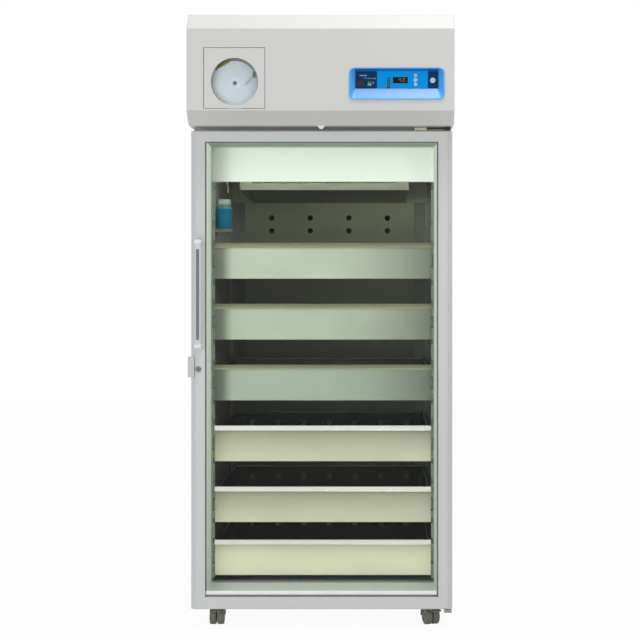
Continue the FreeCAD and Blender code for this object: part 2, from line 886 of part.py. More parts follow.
def evaporator_cover():
    """Sheet cover with a slotted front and a sloping drip tray."""
    front = front_y + cover_front_setback
    back = duct_front_y
    inner_y = front + sheet
    plate = block(-cover_half_width, cover_half_width, front, inner_y, cover_front_bottom, room_ceiling)
    slots = int(cover_slot_half_run / cover_slot_pitch)
    cutters = []
    for i in range(-slots, slots + 1):
        x = i * cover_slot_pitch
        cutters.append(block(x - cover_slot_length / 2, x + cover_slot_length / 2, front - 1, inner_y + 1,
                             cover_slot_z - cover_slot_height / 2, cover_slot_z + cover_slot_height / 2))
    plate = plate.cut(Part.makeCompound(cutters))
    z0, z1 = cover_bottom_z(inner_y), cover_bottom_z(back)
    tray = prism([(-cover_half_width, inner_y, z0), (-cover_half_width, back, z1),
                  (-cover_half_width, back, z1 + sheet), (-cover_half_width, inner_y, z0 + sheet)],
                 (2 * cover_half_width, 0, 0))
    side = prism([(cover_half_width - sheet, inner_y, z0 + sheet), (cover_half_width - sheet, back, z1 + sheet),
                  (cover_half_width - sheet, back, room_ceiling), (cover_half_width - sheet, inner_y, room_ceiling)],
                 (sheet, 0, 0))
    return [plate, tray] + mirrored_pair(side)


def evaporator_coil():
    """Finned coil hung from the ceiling, and the fan motor in front of it."""
    y0 = front_y + coil_front_setback
    y1 = y0 + coil_depth
    top = room_ceiling - coil_hanger
    pieces = []
    pitch = 2 * coil_half_width / (coil_fins - 1)
    for i in range(coil_fins):
        x = -coil_half_width + i * pitch
        pieces.append(block(x - coil_fin_sheet / 2, x + coil_fin_sheet / 2, y0, y1, coil_bottom, top))
    for row in range(coil_tube_rows):
        y = y0 + coil_depth * (row + 0.5) / coil_tube_rows
        for z in (coil_bottom + 2 * coil_tube_radius, top - 2 * coil_tube_radius):
            reach = coil_half_width + 3 * coil_tube_radius
            pieces.append(rod(coil_tube_radius, (-reach, y, z), (reach, y, z)))
    for x in (-coil_half_width, coil_half_width):
        pieces.append(block(x - sheet, x + sheet, y0, y1, coil_bottom, room_ceiling))
    coil = joined(pieces)
    motor_front = front_y + evaporator_fan_setback
    motor_back = motor_front + evaporator_motor_length
    motor = joined([
        rod(evaporator_motor_radius, (0, motor_front, evaporator_fan_z), (0, motor_back, evaporator_fan_z)),
        rod(fan_shaft_radius, (0, motor_front - fan_depth, evaporator_fan_z), (0, motor_front, evaporator_fan_z)),
        block(-motor_bracket_width / 2, motor_bracket_width / 2, motor_back - motor_bracket_sheet, motor_back,
              evaporator_fan_z, room_ceiling),
    ])
    return [coil, motor]


def axial_fan(x, y0, z, radius, hub_radius):
    """Fan wheel on a shaft along Y: a hub and pitched blades."""
    pieces = [rod(hub_radius, (x, y0, z), (x, y0 + fan_depth, z))]
    span = radius - hub_radius / 2
    chord = fan_depth / math.sin(math.radians(fan_blade_pitch)) * 0.8
    for i in range(fan_blades):
        blade = block(hub_radius / 2, hub_radius / 2 + span, -chord / 2, chord / 2,
                      -fan_blade_sheet / 2, fan_blade_sheet / 2)
        blade.rotate(ORIGIN, RIGHT, 90 - fan_blade_pitch - 30)
        blade.rotate(ORIGIN, REARWARD, 360.0 * i / fan_blades)
        blade.translate(Vec(x, y0 + fan_depth / 2, z))
        pieces.append(blade)
    wheel = joined(pieces)
    rim = rod(radius, (x, y0, z), (x, y0 + fan_depth, z))
    bore = rod(fan_shaft_radius + running_gap, (x, y0, z), (x, y0 + fan_depth, z))
    return [wheel.common(rim).cut(bore)]


def evaporator_fan():
    """Cold air fan under the ceiling."""
    y0 = front_y + evaporator_fan_setback - fan_depth - touch_gap
    return axial_fan(0, y0, evaporator_fan_z, evaporator_fan_radius, evaporator_motor_radius * 0.75)


def drawer(top):
    """Sheet steel drawer: front with a pull lip, walls, floor and its two runner bars."""
    bottom = top - drawer_height
    front, back = drawer_face_y, drawer_back_y
    inner_front = front + drawer_sheet
    wall_top = top - drawer_wall_drop
    face = block(-drawer_front_half, drawer_front_half, front, inner_front, bottom, top)
    lip_front = front - lip_depth
    lip_top = block(-drawer_front_half, drawer_front_half, lip_front, front, top - drawer_sheet, top)
    lip = block(-drawer_front_half, drawer_front_half, lip_front, lip_front + drawer_sheet,
                top - lip_height, top - drawer_sheet)
    side = block(drawer_half - drawer_sheet, drawer_half, inner_front, back, bottom, wall_top)
    inner_half = drawer_half - drawer_sheet
    rear = block(-inner_half, inner_half, back - drawer_sheet, back, bottom, wall_top)
    for i in range(drawer_vent_count):
        x = (i - (drawer_vent_count - 1) / 2) * drawer_vent_pitch
        z = bottom + drawer_vent_z
        rear = rear.cut(rod(drawer_vent_radius, (x, back - 10, z), (x, back + 10, z)))
    ground = block(-inner_half, inner_half, inner_front, back - drawer_sheet, bottom, bottom + drawer_sheet)
    half_bar = runner_height / 2 - runner_sheet - slide_gap
    bar_z = bottom + runner_z
    runner_web = room_x - pilaster_sheet - runner_sheet
    bar = block(drawer_half, runner_web - bar_web_gap, runner_front_y, runner_back_y - bar_end_gap,
                bar_z - half_bar, bar_z + half_bar)
    return [face, lip_top, lip, rear, ground] + mirrored_pair(side) + mirrored_pair(bar)


def fixed_runners():
    """Channel on each side of each drawer, open towards the drawer."""
    channels = []
    outer = room_x - pilaster_sheet
    web = outer - runner_sheet
    tip = web - runner_reach
    for top in drawer_tops:
        z = top - drawer_height + runner_z
        z0, z1 = z - runner_height / 2, z + runner_height / 2
        channel = block(tip, outer, runner_front_y, runner_back_y, z0, z1)
        hollow = block(tip - 1, web, runner_front_y - 1, runner_back_y + 1, z0 + runner_sheet, z1 - runner_sheet)
        channels += mirrored_pair(channel.cut(hollow))
    return channels


def pilaster(y_flange, towards_rear):
    """Upright angle on the right wall: a side leaf, and a slotted leaf that faces along the cabinet."""
    z0, z1 = room_floor + pilaster_foot, pilaster_top
    step = 1 if towards_rear else -1
    leaf_ends = sorted((y_flange, y_flange + step * pilaster_width))
    side = block(room_x - pilaster_sheet, room_x, leaf_ends[0], leaf_ends[1], z0, z1)
    flange_ends = sorted((y_flange, y_flange + step * pilaster_sheet))
    flange = block(room_x - pilaster_flange, room_x, flange_ends[0], flange_ends[1], z0, z1)
    cutters = []
    slot_x = room_x - pilaster_flange / 2 - 1.0
    slots = int((z1 - z0 - pilaster_slot_pitch) / pilaster_slot_pitch)
    for i in range(slots):
        z = z0 + pilaster_slot_pitch * (i + 0.75)
        cutters.append(block(slot_x - pilaster_slot_width / 2, slot_x + pilaster_slot_width / 2,
                             flange_ends[0] - 1, flange_ends[1] + 1, z, z + pilaster_slot_height))
    for top in drawer_tops:
        z = top - drawer_height + runner_z
        half = runner_height / 2 + pilaster_notch_gap
        cutters.append(block(room_x - pilaster_flange - 1, room_x - pilaster_sheet,
                             flange_ends[0] - 1, flange_ends[1] + 1, z - half, z + half))
    return joined([side, flange]).cut(Part.makeCompound(cutters))


def pilasters():
    """Four uprights, two at the front and two at the rear."""
    front = pilaster(front_y + pilaster_front_setback, True)
    rear = pilaster(corner_front_y - pilaster_rear_gap, False)
    return mirrored_pair(front) + mirrored_pair(rear)


def probe_bottle():
    """Glycol bottle with a screw cap and a rubber stopper."""
    y = bottle_y
    cone = Part.makeCone(bottle_radius, bottle_neck_radius, bottle_neck_height, Vec(bottle_x, y, bottle_shoulder))
    body = joined([rod(bottle_radius, (bottle_x, y, bottle_bottom), (bottle_x, y, bottle_shoulder)), cone])
    cap = rod(cap_radius, (bottle_x, y, cap_skirt), (bottle_x, y, cap_top))
    stopper_x = bottle_x + stopper_offset
    stopper = rod(stopper_radius, (stopper_x, y, cap_top), (stopper_x, y, stopper_top))
    return [body, cap, stopper]


def bottle_bracket():
    """Small shelf with a front lip, screwed to the left wall."""
    y0, y1 = bottle_y - holder_width / 2, bottle_y + holder_width / 2
    wall = block(-room_x, -room_x + holder_sheet, y0, y1, holder_bottom, holder_top)
    shelf = block(-room_x, -room_x + holder_reach, y0, y1, bottle_bottom - holder_sheet, bottle_bottom)
    lip_z = bottle_bottom - holder_sheet - holder_lip
    lip = block(-room_x, -room_x + holder_reach, y0, y0 + holder_sheet, lip_z, bottle_bottom - holder_sheet)
    return [joined([wall, shelf, lip])]


def probe_lead():
    """Sensor lead from the stopper up to a gland in the ceiling, as runs joined by arcs."""
    start = Vec(bottle_x + stopper_offset, bottle_y, stopper_top)
    points = [start + Vec(*step) for step in lead_rise]
    points[-1].z = room_ceiling - gland_drop
    edges = []
    here = points[0]
    for i in range(1, len(points) - 1):
        before, after = points[i - 1] - points[i], points[i + 1] - points[i]
        turn = math.pi - before.getAngle(after)
        trim = 0.45 * min(before.Length, after.Length)
        radius = trim / math.tan(turn / 2)
        print("probe lead bend", i, "radius", round(radius, 1))
        first = points[i] + before.normalize() * trim
        last = points[i] + after.normalize() * trim
        middle_way = (before + after).normalize()
        to_centre = radius / math.cos(turn / 2)
        middle = points[i] + middle_way * (to_centre - radius)
        edges.append(Part.LineSegment(here, first).toShape())
        edges.append(Part.Arc(first, middle, last).toShape())
        here = last
    edges.append(Part.LineSegment(here, points[-1]).toShape())
    path = Part.Wire(edges)
    ring = Part.Wire(Part.Circle(points[0], points[1] - points[0], lead_radius).toShape())
    tube = path.makePipeShell([ring], True, False)
    expected = math.pi * lead_radius ** 2 * path.Length
    print("probe lead length", round(path.Length, 1), "volume share", round(tube.Volume / expected, 4))
    gland = rod(gland_radius, (points[-1].x, points[-1].y, points[-1].z),
                (points[-1].x, points[-1].y, room_ceiling))
    return [tube, gland]


# Header and machine compartment


def header_cover():
    """Front cover with slanted top and bottom, and openings for recorder and controls."""
    lap_y = front_y + header_side_lap
    outline = [(lap_y, header_top), (face_y + header_top_run, header_top), (face_y, header_face_top),
               (face_y, header_face_bottom), (face_y + header_bottom_run, header_bottom), (lap_y, header_bottom)]
    shell = prism([(-half_header, y, z) for y, z in outline], (2 * half_header, 0, 0))
    end_edges = []
    for edge in shell.Edges:
        xs = [v.X for v in edge.Vertexes]
        ys = [v.Y for v in edge.Vertexes]
        zs = [v.Z for v in edge.Vertexes]
        on_end = abs(xs[0] - xs[1]) < 0.01
        if on_end and min(ys) < lap_y - 1 and min(zs) > header_bottom + 1:
            end_edges.append(edge)
    shell = shell.makeFillet(header_edge_radius, end_edges)
    wall = header_wall
    slant = math.hypot(header_top_run, header_top - header_face_top)
    top_inset = wall * (slant - header_top_run) / (header_top - header_face_top)
    slant = math.hypot(header_bottom_run, header_face_bottom - header_bottom)
    bottom_inset = wall * (slant - header_bottom_run) / (header_face_bottom - header_bottom)
    top_inner_z = header_top - wall
    bottom_inner_z = header_bottom + wall
    inner_outline = [(lap_y + 1, top_inner_z), (face_y + header_top_run + top_inset, top_inner_z),
                     (header_inner_y, header_face_top - top_inset),
                     (header_inner_y, header_face_bottom + bottom_inset),
                     (face_y + header_bottom_run + bottom_inset, bottom_inner_z), (lap_y + 1, bottom_inner_z)]
    inner_half = half_header - wall
    hollow = prism([(-inner_half, y, z) for y, z in inner_outline], (2 * inner_half, 0, 0))
    shell = shell.cut(hollow)
    shell = shell.cut(block(-half_header, half_header, front_y - 1.5, lap_y, header_bottom, bottom_inner_z))
    shell = shell.cut(block(recorder_left - panel_gap, recorder_right + panel_gap, face_y - 1, header_inner_y + 1,
                            recorder_bottom - panel_gap, recorder_top + panel_gap))
    pin_x, pin_y = recorder_axis()
    shell = shell.cut(rod(recorder_pin_radius + running_gap, (pin_x, pin_y, recorder_bottom - recorder_pin_reach),
                          (pin_x, pin_y, recorder_top + recorder_pin_reach)))
    edge = bezel_lap - touch_gap
    shell = shell.cut(rounded_block(bezel_left + edge, bezel_right - edge, bezel_bottom + edge, bezel_top - edge,
                                    bezel_corner - edge, face_y - 1, header_inner_y + 1))
    return [shell]


def header_latch():
    """Pull tab under the middle of the header cover."""
    y = face_y + latch_setback
    z0 = header_bottom - latch_drop
    outline = [(-latch_width / 2, header_bottom), (-latch_tip_width / 2, z0),
               (latch_tip_width / 2, z0), (latch_width / 2, header_bottom)]
    return [prism([(x, y, z) for x, z in outline], (0, latch_thickness, 0))]


def header_housing():
    """Deck with an upturned front lip, top sheet of the machine compartment, and its louvred rear."""
    deck = block(-half_inside, half_inside, breaker_back_y, rear_y - sheet, deck_z - sheet, deck_z)
    lip_end = hinge_x - hinge_plate_length - deck_lip_gap
    lip = block(-half_inside, lip_end, breaker_back_y, breaker_back_y + sheet, deck_z, deck_z + deck_lip_rise)
    top = block(-half_inside, half_inside, front_y, rear_y, top_z - sheet, top_z)
    rear = block(-half_inside, half_inside, rear_y - sheet, rear_y, deck_z, top_z - sheet)
    cutters = []
    for column in range(louvre_columns):
        x = (column - (louvre_columns - 1) / 2) * louvre_column_pitch
        for row in range(louvre_rows):
            z = deck_z + louvre_first_rise + row * louvre_row_pitch
            cutters.append(block(x - louvre_length / 2, x + louvre_length / 2, rear_y - 2 * sheet, rear_y + sheet,
                                 z, z + louvre_height))
    x0, x1, z0, z1 = inlet_edges(touch_gap)
    cutters.append(block(x0, x1, rear_y - 2 * sheet, rear_y + sheet, z0, z1))
    return [deck, lip, top, rear.cut(Part.makeCompound(cutters))]


def compressor():
    """Hermetic compressor on rubber pads, with its suction and discharge stubs."""
    x, y = compressor_x, compressor_y
    foot_z = deck_z + compressor_foot_height
    shell_z = foot_z + compressor_foot_sheet
    shell_top = shell_z + compressor_height
    dome = Part.makeCone(compressor_radius, compressor_radius * 0.6, compressor_dome, Vec(x, y, shell_top))
    stub_x = x + compressor_radius * 0.7
    shell = joined([
        block(x - compressor_foot_width / 2, x + compressor_foot_width / 2,
              y - compressor_foot_depth / 2, y + compressor_foot_depth / 2, foot_z, shell_z),
        rod(compressor_radius, (x, y, shell_z), (x, y, shell_top)),
        dome,
        rod(pipe_radius, (stub_x, y, shell_top - pipe_rise), (stub_x, y, shell_top + pipe_rise)),
        rod(pipe_radius, (x, y - compressor_radius * 0.3, shell_top), (x, y - compressor_radius * 0.3,
                                                                       shell_top + pipe_rise)),
    ])
    pads = []
    for side in (-1, 1):
        for end in (-1, 1):
            px = x + side * (compressor_foot_width / 2 - compressor_pad_radius)
            py = y + end * (compressor_foot_depth / 2 - compressor_pad_radius)
            pads.append(rod(compressor_pad_radius, (px, py, deck_z), (px, py, foot_z)))
    return [shell] + pads


def condenser_planes():
    """Front and back of the condenser coil, and the plane of the shroud in front of it."""
    back = rear_y - sheet - condenser_rear_gap
    front = back - condenser_depth
    return front, back, front - shroud_gap


def fan_centre():
    """Middle of the condenser fan, seen from the front."""
    return (condenser_left + condenser_right) / 2, condenser_bottom + condenser_height / 2


def condenser_coil():
    """Finned coil on two feet, with the fan shroud and the fan motor on its bracket."""
    front, back, shroud_y = condenser_planes()
    top = condenser_bottom + condenser_height
    pieces = []
    pitch = (condenser_right - condenser_left) / (condenser_fins - 1)
    for i in range(condenser_fins):
        x = condenser_left + i * pitch
        pieces.append(block(x - condenser_fin_sheet / 2, x + condenser_fin_sheet / 2, front, back,
                            condenser_bottom, top))
    for row in range(condenser_tube_rows):
        z = condenser_bottom + condenser_height * (row + 0.5) / condenser_tube_rows
        reach = 3 * condenser_tube_radius
        y = (front + back) / 2
        pieces.append(rod(condenser_tube_radius, (condenser_left - reach, y, z), (condenser_right + reach, y, z)))
    for x in (condenser_left, condenser_right):
        pieces.append(block(x - sheet, x + sheet, shroud_y + shroud_sheet, back, deck_z, top))
    coil = joined(pieces)
    fan_x, fan_z = fan_centre()
    shroud = block(condenser_left - sheet, condenser_right + sheet, shroud_y, shroud_y + shroud_sheet, deck_z, top)
    shroud = shroud.cut(rod(condenser_fan_radius + fan_tip_gap, (fan_x, shroud_y - 1, fan_z),
                            (fan_x, shroud_y + shroud_sheet + 1, fan_z)))
    motor_back = shroud_y - fan_depth - touch_gap
    motor_front = motor_back - motor_length
    half = motor_bracket_width / 2
    motor = joined([
        rod(motor_radius, (fan_x, motor_front, fan_z), (fan_x, motor_back, fan_z)),
        rod(fan_shaft_radius, (fan_x, motor_back, fan_z), (fan_x, motor_back + fan_depth, fan_z)),
        block(fan_x - half, fan_x + half, motor_front, motor_front + motor_bracket_sheet, deck_z, fan_z),
        block(fan_x - half, fan_x + half, motor_front, motor_back, deck_z, deck_z + motor_bracket_sheet),
    ])
    return [coil, shroud, motor]


def condenser_fan():
    """Fan wheel that draws air through the condenser."""
    fan_x, fan_z = fan_centre()
    shroud_y = condenser_planes()[2]
    return axial_fan(fan_x, shroud_y - fan_depth, fan_z, condenser_fan_radius, fan_hub_radius)


def inlet_edges(grow):
    """Left, right, bottom and top of the inlet's body, grown by a clearance for its hole."""
    return (inlet_x - inlet_width / 2 - grow, inlet_x + inlet_width / 2 + grow,
            inlet_z - inlet_height / 2 - grow, inlet_z + inlet_height / 2 + grow)


def power_inlet():
    """Appliance inlet with a recess and three pins."""
    x0, x1, z0, z1 = inlet_edges(0.0)
    body = block(x0, x1, rear_y - inlet_depth, rear_y, z0, z1)
    x0, x1, z0, z1 = inlet_edges(inlet_flange)
    face = rear_y + inlet_flange_sheet
    body = joined([body, block(x0, x1, rear_y, face, z0, z1)])
    recess_y = face - inlet_recess_depth
    body = body.cut(block(inlet_x - inlet_recess_width / 2, inlet_x + inlet_recess_width / 2, recess_y, face,
                          inlet_z - inlet_recess_height / 2, inlet_z + inlet_recess_height / 2))
    pieces = [body]
    for step in (-1, 0, 1):
        x = inlet_x + step * inlet_pin_spacing
        pieces.append(block(x - inlet_pin_width / 2, x + inlet_pin_width / 2, recess_y, recess_y + inlet_pin_length,
                            inlet_z - inlet_pin_height / 2, inlet_z + inlet_pin_height / 2))
    return pieces


# Chart recorder


def recorder_axis():
    """Hinge axis of the recorder door, in the middle of its rounded left edge."""
    return recorder_left + header_wall / 2, face_y + header_wall / 2


def recorder_case():
    """Case of five plates behind the header face, with pen lift bar, chart shaft and pen shaft."""
    lap = recorder_case_lap
    wall = recorder_case_wall
    x0, x1 = recorder_left - lap, recorder_right + lap
    z0, z1 = recorder_bottom - lap, recorder_top + lap
    back = header_inner_y + recorder_depth
    case = [
        block(x0, x1, header_inner_y, back - wall, z0, z0 + wall),
        block(x0, x1, header_inner_y, back - wall, z1 - wall, z1),
        block(x0, x0 + wall, header_inner_y, back - wall, z0 + wall, z1 - wall),
        block(x1 - wall, x1, header_inner_y, back - wall, z0 + wall, z1 - wall),
        block(x0, x1, back - wall, back, z0, z1),
    ]
    chart_back = chart_front_y + chart_sheet
    arm_front = chart_front_y - pen_lift - pen_thickness
    lift_angle = math.radians(lift_bar_angle)
    post_out = chart_radius + lift_post_out
    post_x = chart_x + post_out * math.cos(lift_angle)
    post_z = chart_z + post_out * math.sin(lift_angle)
    bar_x = chart_x + lift_bar_radius_out * math.cos(lift_angle)
    bar_z = chart_z + lift_bar_radius_out * math.sin(lift_angle)
    bar = block(-lift_bar_length / 2, lift_bar_length / 2, 0, pen_thickness, -lift_bar_width / 2, lift_bar_width / 2)
    bar.rotate(ORIGIN, REARWARD, 90 - lift_bar_angle)
    bar.translate(Vec(bar_x, arm_front, bar_z))
    lift = joined([bar, rod(lift_post_radius, (post_x, arm_front, post_z), (post_x, recorder_back_y, post_z))])
    chart_shaft = rod(chart_shaft_radius, (chart_x, chart_front_y - chart_hub_depth / 2, chart_z),
                      (chart_x, recorder_back_y, chart_z))
    seat = rod(chart_hub_radius, (chart_x, chart_back + touch_gap, chart_z), (chart_x, recorder_back_y, chart_z))
    pen_shaft = rod(pen_shaft_radius, (pen_x, arm_front, pen_z), (pen_x, recorder_back_y, pen_z))
    pen_seat = rod(pen_boss_radius, (pen_x, chart_front_y, pen_z), (pen_x, recorder_back_y, pen_z))
    return case + [lift, joined([chart_shaft, seat]), joined([pen_shaft, pen_seat])]


def recorder_door():
    """Flush square door with a round window hole, hinged at its left edge on two small pins."""
    pin_x, pin_y = recorder_axis()
    plate = block(pin_x, recorder_right, face_y, header_inner_y, recorder_bottom, recorder_top)
    edge = rod(header_wall / 2, (pin_x, pin_y, recorder_bottom), (pin_x, pin_y, recorder_top))
    pins = rod(recorder_pin_radius, (pin_x, pin_y, recorder_bottom - recorder_pin_reach + 1),
               (pin_x, pin_y, recorder_top + recorder_pin_reach - 1))
    door = joined([plate, edge, pins])
    return [door.cut(rod(window_radius, (window_x, face_y - 1, window_z), (window_x, header_inner_y + 1, window_z)))]


def recorder_window():
    """Clear round window behind the recorder door."""
    back = header_inner_y + window_sheet
    return [rod(window_radius + window_lap, (window_x, header_inner_y, window_z), (window_x, back, window_z))]


def chart_disc():
    """Round paper chart with its centre nut, turning on the recorder's shaft."""
    back = chart_front_y + chart_sheet
    disc = joined([
        rod(chart_radius, (chart_x, chart_front_y, chart_z), (chart_x, back, chart_z)),
        rod(chart_hub_radius, (chart_x, chart_front_y - chart_hub_depth, chart_z), (chart_x, chart_front_y, chart_z)),
    ])
    bore_front = chart_front_y - chart_hub_depth / 2 - touch_gap
    return [disc.cut(rod(chart_shaft_radius + running_gap, (chart_x, bore_front, chart_z), (chart_x, back, chart_z)))]


def pen_arm():
    """Pen arm over the chart, with its boss on the pen shaft and a nib at its tip."""
    front = chart_front_y - pen_lift - pen_thickness
    back = front + pen_thickness
    arm = block(0, pen_length, 0, pen_thickness, -pen_width / 2, pen_width / 2)
    arm.rotate(ORIGIN, REARWARD, -pen_direction)
    arm.translate(Vec(pen_x, front, pen_z))
    angle = math.radians(pen_direction)
    tip_x = pen_x + (pen_length - pen_width) * math.cos(angle)
    tip_z = pen_z + (pen_length - pen_width) * math.sin(angle)
    boss = rod(pen_boss_radius, (pen_x, front, pen_z), (pen_x, chart_front_y - touch_gap, pen_z))
    nib = rod(pen_width / 2, (tip_x, back, tip_z), (tip_x, back + pen_nib, tip_z))
    bore = rod(pen_shaft_radius + running_gap, (pen_x, front - 1, pen_z), (pen_x, chart_front_y, pen_z))
    return [joined([arm, boss, nib]).cut(bore)]


# Control panel


def control_bezel():
    """Proud rounded surround whose walls slope in to the recessed faceplate."""
    front = face_y - bezel_proud
    back = faceplate_front_y
    lap = bezel_lap
    flange = rounded_block(bezel_left, bezel_right, bezel_bottom, bezel_top, bezel_corner, front, face_y)
    body = rounded_block(bezel_left + lap, bezel_right - lap, bezel_bottom + lap, bezel_top - lap,
                         bezel_corner - lap, face_y, back)
    rim = bezel_rim
    mouth = rounded_wire(bezel_left + rim, bezel_right - rim, bezel_bottom + rim, bezel_top - rim,
                         bezel_corner - rim, front)
    floor_y = back - bezel_back_sheet
    foot = rounded_wire(recess_left, recess_right, recess_bottom, recess_top, recess_corner, floor_y)
    bowl = Part.makeLoft([mouth, foot], True, True)
    window = rounded_block(recess_left, recess_right, recess_bottom, recess_top, recess_corner, floor_y, back)
    return [joined([flange, body]).cut(bowl).cut(window)]


def button_places():
    """Name, centre and radius of each push button."""
    return (("button_up", button_x, button_up_z, button_radius),
            ("button_set", button_x, button_set_z, button_set_radius),
            ("button_down", button_x, button_down_z, button_radius),
            ("mute_button", mute_x, mute_z, mute_radius))


def control_faceplate():
    """Plate behind the bezel with the display window, and the control board box on posts."""
    front = faceplate_front_y
    back = front + faceplate_sheet
    lap = bezel_lap + faceplate_lap
    x0, x1 = bezel_left + lap, bezel_right - lap
    z0, z1 = bezel_bottom + lap, bezel_top - lap
    plate = block(x0, x1, front, back, z0, z1)
    for name, x, z, radius in button_places():
        stem = radius - button_stem_inset + running_gap
        plate = plate.cut(rod(stem, (x, front - 1, z), (x, back + 1, z)))
    plate = plate.cut(rod(key_radius + running_gap, (key_x, front - 1, key_z), (key_x, back + 1, key_z)))
    display = block(display_left, display_left + display_width, front - display_proud, front,
                    display_bottom, display_bottom + display_height)
    box_front = back + board_stand
    board = [block(x0, x1, box_front, box_front + board_depth, z0, z1)]
    inset = 2 * board_post_radius
    for x in (x0 + inset, x1 - inset):
        for z in (z0 + inset, z1 - inset):
            board.append(rod(board_post_radius, (x, back, z), (x, box_front, z)))
    return [plate, display, joined(board)]


def push_button(x, z, radius):
    """Button cap in front of the faceplate on a stem that slides through it."""
    front = faceplate_front_y - button_proud - button_stand
    cap_back = faceplate_front_y - button_stand
    cap = rod(radius, (x, front, z), (x, cap_back, z))
    rim = [e for e in cap.Edges if e.Vertexes[0].Y < front + 0.01 and abs(e.BoundBox.YLength) < 0.01]
    cap = cap.makeFillet(1.0, rim)
    stem = rod(radius - button_stem_inset, (x, cap_back, z), (x, cap_back + button_stem_length, z))
    return [joined([cap, stem])]


def key_switch():
    """Black key switch with a finger bar."""
    front = faceplate_front_y - key_proud
    back = faceplate_front_y + key_depth
    barrel = rod(key_radius, (key_x, front, key_z), (key_x, back, key_z))
    bar = block(key_x - 1.5, key_x + 1.5, front - 3.0, front, key_z - key_radius + 1.5, key_z + key_radius - 1.5)
    return [joined([barrel, bar])]


# Casters


def placed(shape, x, y, turn):
    """Turns a caster piece about its swivel axis and moves it to its corner."""
    moved = shape.copy()
    moved.rotate(ORIGIN, UP, turn)
    moved.translate(Vec(x, y, 0))
    return moved


def caster_places():
    """Name, place and swivel turn of each caster."""
    return (("front_left", -caster_x, caster_front_y, caster_front_left_turn),
            ("front_right", caster_x, caster_front_y, caster_front_right_turn),
            ("rear_left", -caster_x, caster_rear_y, caster_rear_turn),
            ("rear_right", caster_x, caster_rear_y, caster_rear_turn))


def caster_plates():
    """Top plate, ball race and king pin of each caster, fixed under the floor pan."""
    plates = []
    plate_z = base_height - caster_plate_sheet
    race_z = plate_z - caster_race_height
    half = caster_plate / 2
    for name, x, y, turn in caster_places():
        plate = joined([
            block(x - half, x + half, y - half, y + half, plate_z, base_height),
            rod(caster_race_radius, (x, y, race_z), (x, y, plate_z)),
            rod(kingpin_radius, (x, y, race_z - caster_gap - crown_height), (x, y, race_z)),
        ])
        plates.append(plate)
    return plates


def caster_fork(braked):
    """Swivel crown, middle web, wheel hood and axle, with pedal ears on a braked caster."""
    crown_top = base_height - caster_plate_sheet - caster_race_height - caster_gap
    crown_z = crown_top - crown_height
    axle = Vec(0, -caster_trail, wheel_radius)
    crown = rod(crown_radius, (0, 0, crown_z), (0, 0, crown_top))
    half_web = web_thickness / 2
    web = prism([(-half_web, crown_radius * 0.6, crown_z), (-half_web, -caster_trail - 8, crown_z),
                 (-half_web, -caster_trail - 8, wheel_radius - 7), (-half_web, -caster_trail + 8, wheel_radius - 7),
                 (-half_web, crown_radius * 0.6, crown_z - 10)], (web_thickness, 0, 0))
    half_hood = wheel_space / 2 + wheel_width + hood_overhang
    inner = wheel_radius + hood_gap
    outer = inner + hood_sheet
    hood = rod(outer, (-half_hood, axle.y, axle.z), (half_hood, axle.y, axle.z))
    hood = hood.cut(rod(inner, (-half_hood, axle.y, axle.z), (half_hood, axle.y, axle.z)))
    fan = [(-half_hood, axle.y, axle.z)]
    for angle in (hood_rear_angle, (hood_rear_angle + hood_front_angle) / 2, hood_front_angle):
        reach = 2 * outer
        fan.append((-half_hood, axle.y + reach * math.cos(math.radians(angle)),
                    axle.z + reach * math.sin(math.radians(angle))))
    hood = hood.common(prism(fan, (2 * half_hood, 0, 0)))
    half_axle = wheel_space / 2 + wheel_width + axle_overhang
    pin = rod(axle_radius, (-half_axle, axle.y, axle.z), (half_axle, axle.y, axle.z))
    pieces = [crown, web, hood, pin]
    if braked:
        ear_x = pedal_barrel_half + ear_gap
        tip = pedal_pivot_forward + pedal_barrel_radius
        ear = prism([(ear_x, -crown_radius, crown_z), (ear_x, -crown_radius, crown_z + 5),
                     (ear_x, -tip, pedal_pivot_z + 3), (ear_x, -tip, pedal_pivot_z - 3),
                     (ear_x, -caster_trail - 6, crown_z)], (ear_sheet, 0, 0))
        pieces += mirrored_pair(ear)
        reach = ear_x + ear_sheet
        pieces.append(rod(pedal_pin_radius, (-reach, -pedal_pivot_forward, pedal_pivot_z),
                          (reach, -pedal_pivot_forward, pedal_pivot_z)))
    fork = joined(pieces)
    return fork.cut(rod(kingpin_radius + running_gap, (0, 0, crown_z - 1), (0, 0, crown_top)))


def caster_wheels():
    """Twin wheels of one caster, one each side of the web."""
    inner, outer = wheel_space / 2, wheel_space / 2 + wheel_width
    y, z = -caster_trail, wheel_radius
    wheel = rod(wheel_radius, (inner, y, z), (outer, y, z))
    rims = [e for e in wheel.Edges if e.BoundBox.XLength < 0.01]
    wheel = wheel.makeFillet(wheel_edge, rims)
    dish = rod(wheel_dish_radius, (outer - wheel_dish_depth, y, z), (outer, y, z))
    dish = dish.cut(rod(wheel_hub_radius, (outer - wheel_dish_depth, y, z), (outer, y, z)))
    bore = rod(axle_radius + running_gap, (inner, y, z), (outer, y, z))
    return mirrored_pair(wheel.cut(dish).cut(bore))


def brake_pedal():
    """Foot lever that turns on a pin between the ears of the fork."""
    y, z = -pedal_pivot_forward, pedal_pivot_z
    low = z - pedal_thickness / 2
    neck_end = y - pedal_neck
    pedal = joined([
        rod(pedal_barrel_radius, (-pedal_barrel_half, y, z), (pedal_barrel_half, y, z)),
        block(-pedal_neck_half, pedal_neck_half, neck_end, y, low, low + pedal_thickness),
        block(-pedal_half_width, pedal_half_width, -pedal_reach, neck_end, low, low + pedal_thickness),
    ])
    return pedal.cut(rod(pedal_pin_radius + running_gap, (-pedal_barrel_half, y, z), (pedal_barrel_half, y, z)))


# Build every piece


